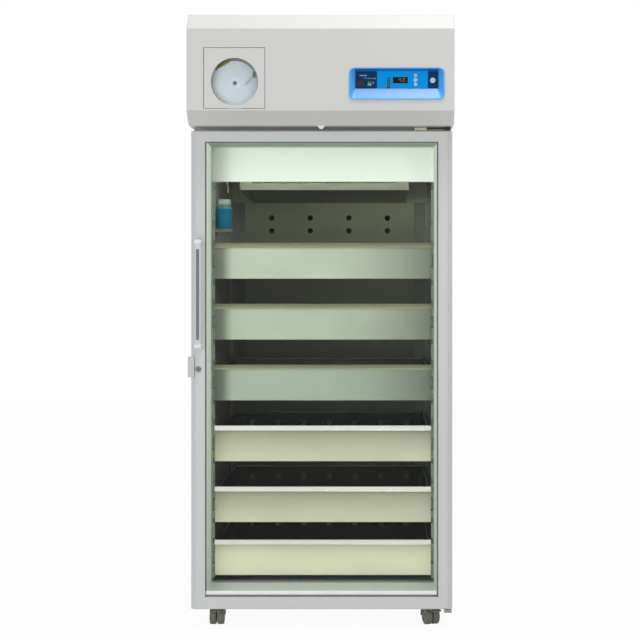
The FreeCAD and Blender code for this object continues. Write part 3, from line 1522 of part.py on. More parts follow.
def build():
    os.makedirs("parts", exist_ok=True)
    fixed = (outer_panels, insulation, liner, breaker_strip, duct_panel, port_sleeve, door_frame, glazing_bead,
             glass_panes, door_gasket, door_handle, handle_inlay, lock_cylinder, hasp_plate, hinge_brackets,
             light_valance, evaporator_cover, evaporator_coil, evaporator_fan, fixed_runners, pilasters,
             probe_bottle, bottle_bracket, probe_lead, header_cover, header_latch, header_housing, compressor,
             condenser_coil, condenser_fan, power_inlet, recorder_case, recorder_door, recorder_window,
             chart_disc, pen_arm, control_bezel, control_faceplate, key_switch, caster_plates)
    for make in fixed:
        save(make.__name__, make())
    for number, top in enumerate(drawer_tops, start=1):
        save("drawer_" + str(number), drawer(top))
    for name, x, z, radius in button_places():
        save(name, push_button(x, z, radius))
    for name, x, y, turn in caster_places():
        braked = name.startswith("front")
        save("caster_fork_" + name, [placed(caster_fork(braked), x, y, turn)])
        save("caster_wheels_" + name, [placed(wheel, x, y, turn) for wheel in caster_wheels()])
        if braked:
            save("brake_pedal_" + name, [placed(brake_pedal(), x, y, turn)])


build()
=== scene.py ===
import json
import math

import bmesh
import bpy
from mathutils import Matrix, Vector


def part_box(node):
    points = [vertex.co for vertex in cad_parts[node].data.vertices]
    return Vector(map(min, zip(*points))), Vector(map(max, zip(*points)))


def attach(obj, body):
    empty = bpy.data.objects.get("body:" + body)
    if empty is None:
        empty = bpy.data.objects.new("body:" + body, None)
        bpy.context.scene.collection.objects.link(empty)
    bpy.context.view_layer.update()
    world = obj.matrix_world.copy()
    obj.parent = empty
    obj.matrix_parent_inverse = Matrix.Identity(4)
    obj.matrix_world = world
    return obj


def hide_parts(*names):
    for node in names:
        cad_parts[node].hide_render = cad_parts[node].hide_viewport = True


bl_info = {
    "name": "Blood bank refrigerator",
    "version": (1, 0, 0),
    "blender": (4, 5, 0),
    "location": "3D View > Sidebar > Refrigerator",
    "description": "Dresses a glass-door blood bank refrigerator with its finishes and small pieces",
    "category": "Object",
}

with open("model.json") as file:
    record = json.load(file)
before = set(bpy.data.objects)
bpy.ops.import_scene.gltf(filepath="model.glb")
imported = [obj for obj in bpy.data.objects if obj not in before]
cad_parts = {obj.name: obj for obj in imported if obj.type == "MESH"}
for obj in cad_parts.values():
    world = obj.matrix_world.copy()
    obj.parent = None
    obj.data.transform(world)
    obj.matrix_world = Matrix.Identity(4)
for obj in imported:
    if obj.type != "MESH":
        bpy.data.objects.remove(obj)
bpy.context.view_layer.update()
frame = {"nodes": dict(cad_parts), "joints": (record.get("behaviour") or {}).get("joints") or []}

MM = 0.001
SIDES = (-1, 1)
FORWARD, BACKWARD, UP, DOWN = (0, -1, 0), (0, 1, 0), (0, 0, 1), (0, 0, -1)
CORNERS = ("front_left", "front_right", "rear_left", "rear_right")


# Colours and settings


def linear(hex_text):
    """The linear colour that shaders take, from an sRGB hex value."""
    channels = [int(hex_text[i:i + 2], 16) / 255 for i in (1, 3, 5)]
    return tuple(c / 12.92 if c <= 0.04045 else ((c + 0.055) / 1.055) ** 2.4 for c in channels) + (1.0,)


def colour_setting(name, description, hex_text):
    return bpy.props.FloatVectorProperty(name=name, description=description, subtype="COLOR", size=4,
                                         min=0.0, max=1.0, default=linear(hex_text))


def length_setting(name, description, metres):
    return bpy.props.FloatProperty(name=name, description=description, unit="LENGTH", min=0.0, default=metres)


def power_setting(name, description, watts):
    return bpy.props.FloatProperty(name=name, description=description, unit="POWER", min=0.0, default=watts)


class RefrigeratorColours(bpy.types.PropertyGroup):
    cabinet: colour_setting("Cabinet enamel", "Baked enamel of the cabinet and header", "#D5D5D1")
    door: colour_setting("Door enamel", "Baked enamel of the door bars and handle", "#D5D6D7")
    liner: colour_setting("Liner", "White inner walls", "#E6E9E2")
    breaker: colour_setting("Breaker strip", "Plastic round the opening", "#F0F4EE")
    valance: colour_setting("Valance", "Light panel across the top", "#F4F5F1")
    duct: colour_setting("Duct panel", "Coated back panel", "#D7D3B7")
    drawer: colour_setting("Drawer steel", "Brushed stainless front of the top drawer", "#D8D9CD")
    cover: colour_setting("Coil cover", "Aluminium under the ceiling", "#8A8B7D")
    zinc: colour_setting("Zinc plate", "Runners, uprights and screws", "#A3A59C")
    grip: colour_setting("Handle grip", "Strip along the handle", "#777D8E")
    gasket: colour_setting("Gasket", "Soft seal of the door", "#F7F8F5")
    bead: colour_setting("Glazing bead", "Dark bead behind the glass", "#757B79")
    glass: colour_setting("Glass tint", "What one face of a pane lets through", "#FBFDFB")
    bezel: colour_setting("Bezel", "Light blue surround of the controls", "#4F9BDF")
    panel: colour_setting("Panel", "Blue control plate", "#00A4FA")
    navy: colour_setting("Navy labels", "Dark fields of the control plate", "#0B3A68")
    button: colour_setting("Buttons", "Pale blue buttons", "#CDE6FC")
    digits: colour_setting("Digits", "Lit digits of the display", "#7C7A38")
    paper: colour_setting("Chart paper", "Printed round chart", "#F8FEFF")
    ink: colour_setting("Chart ink", "Printed lines of the chart", "#A5C4CF")
    recorder: colour_setting("Recorder body", "Moulded inside of the recorder", "#8F9794")
    lift_bar: colour_setting("Pen lift bar", "Olive bar over the chart", "#82802A")
    glycol: colour_setting("Glycol", "Dyed liquid in the probe bottle", "#009AD1")
    caster: colour_setting("Caster plastic", "Hoods and wheel discs", "#86887A")
    tread: colour_setting("Caster tread", "Running face of the wheels", "#85877A")


class RefrigeratorDetails(bpy.types.PropertyGroup):
    screw_radius: length_setting("Screw head radius", "Pan head of the sheet metal screws", 0.0042)
    screw_height: length_setting("Screw head height", "How far a head stands out", 0.0018)
    handle_cap: length_setting("Handle cap height", "White caps at the ends of the handle", 0.0125)
    lead_radius: length_setting("Probe lead radius", "Round lead between stopper and gland", 0.0020)
    pipe_radius: length_setting("Pipe radius", "Copper pipes of the compressor", 0.0042)
    label_sheet: length_setting("Label thickness", "Printed labels of the control plate", 0.00025)
    hem_radius: length_setting("Drawer hem radius", "Rolled edge along the drawer walls", 0.0026)
    lip_radius: length_setting("Lip roll radius", "Rolled edges of the pull lip", 0.0014)
    drawer_half_width: length_setting("Drawer half width", "From the middle to the outside of a drawer wall",
                                      0.351)
    drawer_front_half: length_setting("Drawer front half width", "From the middle to the end of a front",
                                      0.3585)


class RefrigeratorStage(bpy.types.PropertyGroup):
    camera_x: length_setting("Camera to the right", "Camera place across the front", 0.183)
    camera_distance: length_setting("Camera distance", "Camera place in front of the origin", 5.0715)
    camera_height: length_setting("Camera height", "Camera place above the floor", 1.124)
    key_power: power_setting("Key light", "Power of the lamp above the front", 103.0)
    left_power: power_setting("Left fill", "Power of the lamp in front on the left", 37.0)
    right_power: power_setting("Right fill", "Power of the lamp in front on the right", 2.0)
    header_power: power_setting("Header light", "Power of the lamp right of the header", 9.0)
    tube_power: power_setting("Cabinet light", "Power of the lamp behind the valance", 0.3)
    world_level: bpy.props.FloatProperty(name="Room light", description="Level of the light from all round",
                                         min=0.0, max=1.0, default=0.38)


# Shader building


def add_node(tree, kind, settings=None, inputs=None):
    """Adds a shader node. Inputs are values, or outputs of other nodes that get linked."""
    made = tree.nodes.new(kind)
    for key, value in (settings or {}).items():
        setattr(made, key, value)
    for key, value in (inputs or {}).items():
        if isinstance(value, bpy.types.NodeSocket):
            tree.links.new(value, made.inputs[key])
        else:
            made.inputs[key].default_value = value
    return made


def empty_tree(holder):
    """The node tree of a new material or world, with nothing in it."""
    holder.use_nodes = True
    holder.node_tree.nodes.clear()
    return holder.node_tree


def begin_finish(name):
    """A new node material, its tree, and object coordinates counted in millimetres."""
    material = bpy.data.materials.new(name)
    tree = empty_tree(material)
    place = add_node(tree, "ShaderNodeTexCoord")
    in_mm = add_node(tree, "ShaderNodeMapping", inputs={"Vector": place.outputs["Object"],
                                                        "Scale": (1 / MM,) * 3})
    return material, tree, in_mm.outputs["Vector"]


def end_finish(material, shader):
    add_node(material.node_tree, "ShaderNodeOutputMaterial", inputs={"Surface": shader})
    return material


def pattern(tree, in_mm, sizes, kind="ShaderNodeTexNoise", output="Fac", settings=None, **inputs):
    """A texture that repeats about once per size in mm: one size, or one for each axis."""
    sizes = sizes if isinstance(sizes, tuple) else (sizes,) * 3
    scale = tuple(1 / size for size in sizes)
    place = add_node(tree, "ShaderNodeMapping", inputs={"Vector": in_mm, "Scale": scale})
    values = {"Vector": place.outputs["Vector"], "Scale": 1.0, **inputs}
    return add_node(tree, kind, settings, values).outputs[output]


def along_axis(tree, in_mm, axis, start_mm, end_mm, low=0.0, high=1.0):
    """A number that goes from low to high between two places on an axis."""
    parts = add_node(tree, "ShaderNodeSeparateXYZ", inputs={"Vector": in_mm})
    return add_node(tree, "ShaderNodeMapRange", inputs={
        "Value": parts.outputs[axis], "From Min": start_mm, "From Max": end_mm, "To Min": low,
        "To Max": high}).outputs["Result"]


def drifting(tree, in_mm, tone, axis, start_mm, end_mm, stops):
    """A tone multiplied by levels that change along one axis: painted light and shade laid on a surface."""
    share = along_axis(tree, in_mm, axis, start_mm, end_mm)
    ramp = add_node(tree, "ShaderNodeValToRGB", inputs={"Fac": share})
    points = ramp.color_ramp.elements
    for point, (position, level) in ((points[0], stops[0]), (points[-1], stops[-1])):
        point.position, point.color = position, (level, level, level, 1.0)
    for position, level in stops[1:-1]:
        points.new(position).color = (level, level, level, 1.0)
    return add_node(tree, "ShaderNodeMix", {"data_type": "RGBA", "blend_type": "MULTIPLY"},
                    {"Factor": 1.0, 6: tone, 7: ramp.outputs["Color"]}).outputs[2]


def opaque(material, colour, dark_share, patches, roughness, grain=None, relief=None, depth_mm=0.0,
           recolour=None,
           ramp_ends=(0.3, 0.7), more=None):
    """Ends an opaque finish.

    Patches darken its colour down to dark_share. With grain, roughness is two levels that it moves between.
    Relief stands out by depth_mm, recolour changes the tone, and more holds other inputs of the shader."""
    tree = material.node_tree
    ramp = add_node(tree, "ShaderNodeValToRGB", inputs={"Fac": patches})
    dark, full = ramp.color_ramp.elements[0], ramp.color_ramp.elements[1]
    dark.position, dark.color = ramp_ends[0], tuple(c * dark_share for c in colour[:3]) + (colour[3],)
    full.position, full.color = ramp_ends[1], colour
    tone = ramp.outputs["Color"]
    inputs = {"Base Color": recolour(tone) if recolour else tone, "Roughness": roughness}
    if grain is not None:
        inputs["Roughness"] = add_node(tree, "ShaderNodeMapRange", inputs={
            "Value": grain, "To Min": roughness[0], "To Max": roughness[1]}).outputs["Result"]
    if relief is not None:
        inputs["Normal"] = add_node(tree, "ShaderNodeBump", inputs={
            "Height": relief, "Strength": 1.0, "Distance": depth_mm * MM}).outputs["Normal"]
    shader = add_node(tree, "ShaderNodeBsdfPrincipled", inputs={**inputs, **(more or {})})
    return end_finish(material, shader.outputs["BSDF"])


# Materials


def baked_enamel(name, colour, roughness=0.38, painted_light=None):
    """Oven-cured enamel on sheet steel: even colour, soft gloss and a faint orange-peel skin.

    Painted light and shade can go on its tone: painted_light gives an axis, its two ends in mm and
    the levels between."""
    material, tree, in_mm = begin_finish(name)
    recolour = (lambda tone: drifting(tree, in_mm, tone, *painted_light)) if painted_light else None
    return opaque(material, colour, 0.97, pattern(tree, in_mm, 420), (roughness - 0.05, roughness + 0.05),
                  pattern(tree, in_mm, 60), pattern(tree, in_mm, 5), 0.05, recolour,
                  more={"Coat Weight": 0.15, "Coat Roughness": 0.2})


def brushed_stainless(name, colour, along=(260, 14, 1.6), roughness=0.36, painted_light=None):
    """Brushed stainless sheet: long fine scratches blur its reflections.

    Painted light and shade can go on its tone: painted_light gives an axis, its two ends in mm and the levels
    between."""
    material, tree, in_mm = begin_finish(name)
    recolour = (lambda tone: drifting(tree, in_mm, tone, *painted_light)) if painted_light else None
    # Real scratches lie too close to show, so they are drawn 1.6 mm apart or more
    scratches = pattern(tree, in_mm, along, Detail=4.0)
    return opaque(material, colour, 0.92, pattern(tree, in_mm, (180, 180, 90)),
                  (roughness - 0.08, roughness + 0.08),
                  scratches, scratches, 0.04, recolour, more={"Metallic": 1.0})


def zinc_plate(name, colour):
    """Zinc-plated mild steel: dull metal with patches of crystal."""
    material, tree, in_mm = begin_finish(name)
    crystal = pattern(tree, in_mm, 9, "ShaderNodeTexVoronoi", "Distance")
    return opaque(material, colour, 0.86, crystal, (0.34, 0.5), crystal, more={"Metallic": 0.85})


def printed_film(name, colour):
    """Matt polyester film with printed colour behind it: flat, even colour and hardly any shine."""
    material, tree, in_mm = begin_finish(name)
    # The real tooth is too fine to show, so it is drawn 1.2 mm wide
    tooth = pattern(tree, in_mm, 1.2)
    return opaque(material, colour, 0.94, pattern(tree, in_mm, 70), (0.5, 0.6), tooth, tooth, 0.01,
                  more={"Specular IOR Level": 0.12})


def moulded_plastic(name, colour, roughness=0.42):
    """Injection-moulded plastic with a fine spark-eroded grain."""
    material, tree, in_mm = begin_finish(name)
    # The real grain is too fine to show, so it is drawn 2.5 mm wide
    grain = pattern(tree, in_mm, 2.5, Detail=3.0)
    return opaque(material, colour, 0.93, pattern(tree, in_mm, 45), (roughness - 0.05, roughness + 0.08),
                  grain,
                  grain, 0.04)


def soft_rubber(name, colour, roughness=0.72):
    """Moulded rubber: dull, with a cloudy bloom."""
    material, tree, in_mm = begin_finish(name)
    # The real skin is too fine to show, so its relief is drawn 1.5 mm wide
    bloom = pattern(tree, in_mm, 14, Detail=4.0)
    return opaque(material, colour, 0.85, bloom, (roughness - 0.08, roughness + 0.08), bloom,
                  pattern(tree, in_mm, 1.5), 0.05)


def clear_sheet(name, tint, mirror_share=0.004):
    """Clear glass or acrylic with an anti-reflection film: a faint tint head on, a mirror at a glance."""
    material, tree, in_mm = begin_finish(name)
    ripple = add_node(tree, "ShaderNodeBump", inputs={
        "Height": pattern(tree, in_mm, 380), "Strength": 1.0, "Distance": 0.05 * MM}).outputs["Normal"]
    slant = add_node(tree, "ShaderNodeLayerWeight", inputs={"Blend": 0.5, "Normal": ripple}).outputs["Facing"]
    steep = add_node(tree, "ShaderNodeMath", {"operation": "POWER"}, {0: slant, 1: 5.0}).outputs["Value"]
    film = add_node(tree, "ShaderNodeMapRange", inputs={"Value": steep, "To Min": mirror_share,
                                                        "To Max": 0.9})
    through = add_node(tree, "ShaderNodeBsdfTransparent", inputs={"Color": tint})
    mirror = add_node(tree, "ShaderNodeBsdfGlossy", inputs={"Color": (1, 1, 1, 1), "Roughness": 0.03,
                                                            "Normal": ripple})
    shader = add_node(tree, "ShaderNodeMixShader", inputs={
        0: film.outputs["Result"], 1: through.outputs["BSDF"], 2: mirror.outputs["BSDF"]})
    return end_finish(material, shader.outputs["Shader"])


def opal_acrylic(name, colour, glow):
    """Opal acrylic with a lamp behind it: satin white that glows more low down and less at its left end."""
    material, tree, in_mm = begin_finish(name)
    foot, head, dim_end, full_from = 1470.0, 1580.0, -366.0, -300.0
    fall = along_axis(tree, in_mm, "Z", foot, head, glow * 1.3, glow * 0.8)
    rise = along_axis(tree, in_mm, "X", dim_end, full_from, 0.1, 1.0)
    lit = add_node(tree, "ShaderNodeMath", {"operation": "MULTIPLY"}, {0: fall, 1: rise})
    speck = pattern(tree, in_mm, 8)
    return opaque(material, colour, 0.98, speck, (0.28, 0.36), speck,
                  more={"Emission Color": colour, "Emission Strength": lit.outputs["Value"]})


def lit_breaker(name, colour, glow):
    """Extruded white vinyl with painted light: it glows as if lit by the cabinet tube, less towards the
    floor.
    """
    material, tree, in_mm = begin_finish(name)
    foot, head = 110.0, 1590.0
    grain = pattern(tree, in_mm, (4, 4, 30), Detail=3.0)
    return opaque(material, colour, 0.96, grain, (0.4, 0.5), grain, more={
        "Emission Color": colour,
        "Emission Strength": along_axis(tree, in_mm, "Z", foot, head, glow * 0.35, glow)})


def lit_lens(name, colour, strength):
    """Lit plastic of a lamp or digit: glossy, and mottled by what is behind it."""
    material, tree, in_mm = begin_finish(name)
    return opaque(material, colour, 0.85, pattern(tree, in_mm, 3), 0.3,
                  more={"Emission Color": colour, "Emission Strength": strength})


def finned_aluminium(name, colour):
    """Thin pressed fins: bright metal with a wave across each fin."""
    material, tree, in_mm = begin_finish(name)
    wave = pattern(tree, in_mm, 12, "ShaderNodeTexWave", "Fac", {"bands_direction": "Z"}, Scale=0.3,
                   Distortion=0.6)
    return opaque(material, colour, 0.9, wave, (0.3, 0.42), wave, wave, 0.2, ramp_ends=(0.2, 0.8),
                  more={"Metallic": 1.0})


def printed_chart(name, paper, ink, middle, radius):
    """Printed recorder paper: fine temperature rings and hour arcs on a smooth pale stock."""
    material, tree, in_mm = begin_finish(name)
    centred = add_node(tree, "ShaderNodeVectorMath", {"operation": "SUBTRACT"},
                       {0: in_mm, 1: tuple(c / MM for c in middle)}).outputs["Vector"]
    parts = add_node(tree, "ShaderNodeSeparateXYZ", inputs={"Vector": centred}).outputs
    flat = add_node(tree, "ShaderNodeCombineXYZ", inputs={"X": parts["X"], "Y": parts["Z"]}).outputs["Vector"]
    reach = add_node(tree, "ShaderNodeVectorMath", {"operation": "LENGTH"}, {0: flat}).outputs["Value"]

    inner, outer, ring_step, bend, half_hour = 18.0, radius / MM - 5.0, 2.5, 0.012, math.pi / 24
    hour_width, ring_width = 0.35, 0.3
    values = {"x": parts["X"], "z": parts["Z"], "reach": reach}
    for result, operation, first, second in (
            ("turn", "ARCTAN2", "z", "x"), ("lean", "MULTIPLY", "reach", bend),
            ("bent", "ADD", "turn", "lean"),
            ("hour", "PINGPONG", "bent", half_hour), ("from_hour", "MULTIPLY", "hour", "reach"),
            ("past", "SUBTRACT", "reach", inner), ("from_ring", "PINGPONG", "past", ring_step),
            ("on_hour", "LESS_THAN", "from_hour", hour_width),
            ("on_ring", "LESS_THAN", "from_ring", ring_width),
            ("line", "MAXIMUM", "on_hour", "on_ring"), ("not_middle", "GREATER_THAN", "reach", inner),
            ("not_rim", "LESS_THAN", "reach", outer), ("band", "MULTIPLY", "not_middle", "not_rim"),
            ("printed", "MULTIPLY", "line", "band")):
        values[result] = add_node(tree, "ShaderNodeMath", {"operation": operation}, {
            0: values[first], 1: values.get(second, second)}).outputs["Value"]
    fibre = pattern(tree, in_mm, 6, Detail=4.0)

    def inked(stock):
        blend = {"Factor": values["printed"], 6: stock, 7: ink}
        return add_node(tree, "ShaderNodeMix", {"data_type": "RGBA"}, blend).outputs[2]

    return opaque(material, paper, 0.96, fibre, 0.7, None, fibre, 0.02, inked)


def direct_rays(tree):
    """1 where the camera, gloss or glass sees a surface, and 0 where it only lights other things."""
    path = add_node(tree, "ShaderNodeLightPath").outputs
    seen = path["Is Camera Ray"]
    for ray in ("Is Glossy Ray", "Is Transmission Ray"):
        seen = add_node(tree, "ShaderNodeMath", {"operation": "MAXIMUM"},
                        {0: seen, 1: path[ray]}).outputs["Value"]
    return seen


def seen_white(name, colour, share):
    """A pale surface that the camera, glass and gloss see close to white, while it still takes shadows."""
    material = bpy.data.materials.new(name)
    tree = empty_tree(material)
    matt = add_node(tree, "ShaderNodeBsdfDiffuse", inputs={"Color": colour})
    white = add_node(tree, "ShaderNodeBsdfDiffuse", inputs={"Color": (1, 1, 1, 1)})
    glow = add_node(tree, "ShaderNodeEmission", inputs={"Color": (1, 1, 1, 1), "Strength": 1.0})
    both = add_node(tree, "ShaderNodeMixShader", inputs={0: share, 1: white.outputs["BSDF"],
                                                         2: glow.outputs["Emission"]})
    shader = add_node(tree, "ShaderNodeMixShader", inputs={0: direct_rays(tree), 1: matt.outputs["BSDF"],
                                                           2: both.outputs["Shader"]})
    return end_finish(material, shader.outputs["Shader"])


# Brushing of bought sheet, as scratch sizes in mm along each axis
ACROSS_FRONT, ALONG_TRAY, ROLLED = (260, 14, 1.6), (90, 200, 8), (200, 20, 3)
TURNED, DRAWN = (30, 30, 30), (90, 90, 90)

# Painted light on the duct panel from foot to head: painted shade low down, a painted highlight near the head
DUCT_PAINTED_LIGHT = ("Z", 300, 1428, ((0.0, 0.5), (0.45, 0.5), (0.66, 0.92), (0.89, 0.86), (0.95, 1.15), (1.0, 1.35)))
# Each finish: the function that makes it, its colour, then that function's further details
FINISHES = {
    "baked_enamel_cabinet": (baked_enamel, "cabinet"),
    "white_latch_plastic": (moulded_plastic, "#F6F6F4", 0.3),
    "rigid_foam": (soft_rubber, "#E8DCB4"),
    # The breaker strip glows a little as painted light from the cabinet tube
    "extruded_breaker": (lit_breaker, "breaker", 0.18),
    "shaded_breaker": (moulded_plastic, "#B4BFB6"),
    "moulded_sleeve": (moulded_plastic, "#D8D8D2"),
    "passivated_hinge_steel": (zinc_plate, "#9C9A84"),
    "cream_hinge_block": (moulded_plastic, "#D6D6BE"),
    "black_key_plastic": (moulded_plastic, "#0F0F0B", 0.5),
    "black_inlet_plastic": (moulded_plastic, "#161617"),
    "nickel_pins": (zinc_plate, "#C8C4B8"),
    "zinc_screws": (zinc_plate, "zinc"),
    "zinc_rails": (zinc_plate, "zinc"),
    "liner_enamel": (baked_enamel, "liner", 0.3),
    "bracket_enamel": (baked_enamel, "#A9A593"),
    "black_duct_lining": (printed_film, "#0A0A09"),
    "coated_duct_panel": (baked_enamel, "duct", 0.34, DUCT_PAINTED_LIGHT),
    "corner_strip_enamel": (baked_enamel, "#9C9F92", 0.34),
    "opal_light_panel": (opal_acrylic, "valance", 0.4),
    "frosted_lamp_tube": (moulded_plastic, "#F6F6F2", 0.25),
    "satin_aluminium_cover": (brushed_stainless, "cover", ROLLED, 0.42),
    "coil_fins": (finned_aluminium, "#B9BBB8"),
    "black_motor_enamel": (baked_enamel, "#1D1E1F"),
    "black_fan_plastic": (moulded_plastic, "#202122"),
    "mill_finish_tray": (brushed_stainless, "#66675D", ALONG_TRAY, 0.42),
    "dull_mill_finish_tray": (brushed_stainless, "#35342A", ALONG_TRAY, 0.42),
    "polished_hems": (brushed_stainless, "#D8D8CF", ACROSS_FRONT, 0.3),
    "baked_enamel_door": (baked_enamel, "door"),
    "extruded_bead": (moulded_plastic, "bead"),
    "white_sill_bead": (lit_breaker, "#F4F6F3", 0.4),
    "float_glass": (clear_sheet, "glass"),
    "ribbed_grip_rubber": (soft_rubber, "grip"),
    "burnished_lock": (zinc_plate, "#77797A"),
    "anodised_spacer": (zinc_plate, "#8A8F8D"),
    "wedge_seal_rubber": (soft_rubber, "#7C8280"),
    "white_glass_stop": (moulded_plastic, "#FCFCF9", 0.4),
    "white_cap_plastic": (moulded_plastic, "#F1F2F1", 0.35),
    # The gasket glows a little as painted light
    "magnetic_gasket_vinyl": (lit_breaker, "gasket", 0.42),
    "dyed_glycol_bottle": (printed_film, "glycol"),
    "blown_bottle": (moulded_plastic, "#7FA9B4", 0.3),
    "ribbed_cap_plastic": (moulded_plastic, "#EEFBED"),
    "black_stopper_rubber": (soft_rubber, "#202226"),
    "lead_jacket_vinyl": (soft_rubber, "#CBCBBF", 0.5),
    "acrylic_window": (clear_sheet, "#FBFCFD", 0.006),
    "moulded_recorder": (moulded_plastic, "recorder"),
    "brushed_chart_nut": (brushed_stainless, "#6F7473", TURNED, 0.35),
    "platen_enamel": (baked_enamel, "#F6FCFF"),
    "platen_shade_enamel": (baked_enamel, "#A9B0AC"),
    "olive_lift_bar": (moulded_plastic, "lift_bar"),
    "chart_number_ink": (moulded_plastic, "#5F7F8A", 0.6),
    "sprung_pen_arm": (baked_enamel, "#DCE7EA"),
    "pen_holder_plastic": (moulded_plastic, "#6F7F76"),
    "ink_cartridge": (moulded_plastic, "#D3B4B0"),
    "moulded_bezel": (moulded_plastic, "bezel", 0.3),
    "moulded_bezel_flank": (moulded_plastic, "#54B4FF", 0.3),
    "moulded_bezel_roof": (moulded_plastic, "#1F78BC", 0.3),
    "screen_printed_plate": (printed_film, "panel"),
    "moulded_button": (moulded_plastic, "button", 0.35),
    "display_window": (printed_film, "#0A1013"),
    "board_box": (zinc_plate, "zinc"),
    "navy_label_film": (printed_film, "navy"),
    "grey_print": (moulded_plastic, "#8FA5B5"),
    "green_print": (moulded_plastic, "#7FAE9C"),
    "dark_green_film": (printed_film, "#0E5B63"),
    "alarm_lamp_lens": (lit_lens, "#A8452F", 0.2),
    "status_lamps_lens": (lit_lens, "#6C7A52", 0.2),
    "lit_digits": (lit_lens, "digits", 0.25),
    "icon_print": (moulded_plastic, "#7DB4E2", 0.4),
    "drawn_copper": (brushed_stainless, "#C98A62", DRAWN, 0.3),
    "moulded_caster": (moulded_plastic, "caster"),
    "caster_tread": (soft_rubber, "tread"),
    "moulded_pedal": (moulded_plastic, "#7C7E72"),
    "pale_floor": (seen_white, "#E8E8E6", 0.95),
}


def finish(name, *recipe):
    """A finish made the first time it is asked for, from a recipe given here or in the list of finishes.

    Its colour is an sRGB hex value or the name of a colour setting."""
    made = bpy.data.materials.get(name)
    if made:
        return made
    make, colour, *details = recipe or FINISHES[name]
    settings = bpy.context.scene.refrigerator_colours
    return make(name, linear(colour) if colour.startswith("#") else tuple(getattr(settings, colour)),
                *details)


# Mesh building


def mm(*points):
    """Points written in millimetres, in metres."""
    return [tuple(value * MM for value in point) for point in points]


def steps_from(origin, *steps):
    """The places that are each a step in millimetres from an origin."""
    return [Vector(origin) + Vector(step) * MM for step in steps]


def new_verts(bm, before):
    """The vertices that were added since before was noted."""
    return [v for v in bm.verts if v not in before]


def add_box(bm, origin, low, high, bevel=0.0, segments=2):
    """A box between two corners, its edges rounded by bevel, all in millimetres from an origin."""
    before = set(bm.verts)
    low, high = steps_from(origin, low, high)
    bmesh.ops.create_cube(bm, size=1.0)
    made = new_verts(bm, before)
    bmesh.ops.scale(bm, verts=made, vec=high - low)
    bmesh.ops.translate(bm, verts=made, vec=(low + high) / 2)
    if bevel:
        edges = {e for v in made for e in v.link_edges}
        bmesh.ops.bevel(bm, geom=list(edges), offset=bevel * MM, affect="EDGES", segments=segments,
                        profile=0.5,
                        material=-1)
    return new_verts(bm, before)


def add_plate(bm, origin, low, high, corner):
    """A flat plate facing the front, with round corners, in millimetres from an origin."""
    made = add_box(bm, origin, low, high)
    edges = [e for e in {e for v in made for e in v.link_edges}
             if (e.verts[0].co - e.verts[1].co).xz.length < 1e-6]
    bmesh.ops.bevel(bm, geom=edges, offset=corner * MM, affect="EDGES", segments=4, profile=0.5, material=-1)


def add_turning(bm, outline, centre, axis, segments=32):
    """Turns an outline of (radius, height) points round an axis through centre."""
    before = set(bm.verts)
    line = [bm.verts.new((radius, 0, height)) for radius, height in outline]
    edges = [bm.edges.new(pair) for pair in zip(line, line[1:])]
    bmesh.ops.spin(bm, geom=line + edges, cent=(0, 0, 0), axis=UP, angle=2 * math.pi, steps=segments,
                   use_merge=True)
    bmesh.ops.remove_doubles(bm, verts=new_verts(bm, before), dist=1e-7)
    made = new_verts(bm, before)
    bmesh.ops.recalc_face_normals(bm, faces=list({f for v in made for f in v.link_faces}))
    turn = Vector(UP).rotation_difference(Vector(axis)).to_matrix().to_4x4()
    bmesh.ops.transform(bm, matrix=Matrix.Translation(Vector(centre)) @ turn, verts=made)
    return made


def add_ring(bm, inner, outer, height, chamfer, centre, segments):
    """A flat ring on the front of something, its outer edge chamfered, sizes in millimetres."""
    edge = [(outer, height - chamfer[1]), (outer - chamfer[0], height)] if chamfer else [(outer, height)]
    outline = mm((inner, 0), (outer, 0), *edge, (inner, height), (inner, 0))
    add_turning(bm, outline, centre, FORWARD, segments)


def add_bar(bm, start, end, radius, segments=12):
    """A round bar with flat ends."""
    start, end = Vector(start), Vector(end)
    length = (end - start).length
    add_turning(bm, [(0, 0), (radius, 0), (radius, length), (0, length)], start, end - start, segments)


def add_digit(bm, origin, number, width, height):
    """A seven-bar digit that stands a little proud of a display, its size in millimetres."""
    thick = width * 0.2
    right, half = width - thick, (height - thick) / 2
    flat = {"a": height - thick, "g": half, "d": 0}
    upright = {"f": (0, half), "b": (right, half), "e": (0, 0), "c": (right, 0)}
    for bar in {"0": "abcdef", "4": "bcfg"}[number]:
        if bar in flat:
            add_box(bm, origin, (thick, -0.25, flat[bar]), (right, 0, flat[bar] + thick))
        else:
            left, foot = upright[bar]
            add_box(bm, origin, (left, -0.25, foot + thick * 0.2),
                    (left + thick, 0, foot + height / 2 + thick * 0.3))


def add_words(bm, text, size, depth, place, turn=0.0):
    """Raised characters that face the front, centred on a place and turned in their plane."""
    curve = bpy.data.curves.new("characters", "FONT")
    curve.body = text
    curve.size = size
    curve.extrude = depth / 2
    curve.align_x = curve.align_y = "CENTER"
    curve.resolution_u = 3
    holder = bpy.data.objects.new("characters", curve)
    mesh = bpy.data.meshes.new_from_object(holder)
    stand = Matrix.Rotation(math.pi / 2, 4, "X")
    mesh.transform(Matrix.Translation(place) @ Matrix.Rotation(-turn, 4, "Y") @ stand)
    bm.from_mesh(mesh)
    bpy.data.objects.remove(holder)
    bpy.data.curves.remove(curve)
    bpy.data.meshes.remove(mesh)


def add_mitred_ring(bm, half_x, low_z, high_z, back_y, profile):
    """Sweeps a closed profile of (outward, forward) points round an upright rectangle, corners mitred."""
    rings = []
    for side_x, z, side_z in ((-1, low_z, -1), (1, low_z, -1), (1, high_z, 1), (-1, high_z, 1)):
        ring = [bm.verts.new((side_x * (half_x + out), back_y + ahead, z + side_z * out))
                for out, ahead in profile]
        rings.append([bm.edges.new(pair) for pair in zip(ring, ring[1:] + ring[:1])])
    for ring, following in zip(rings, rings[1:] + rings[:1]):
        bmesh.ops.bridge_loops(bm, edges=ring + following)
    bmesh.ops.recalc_face_normals(bm, faces=bm.faces[:])


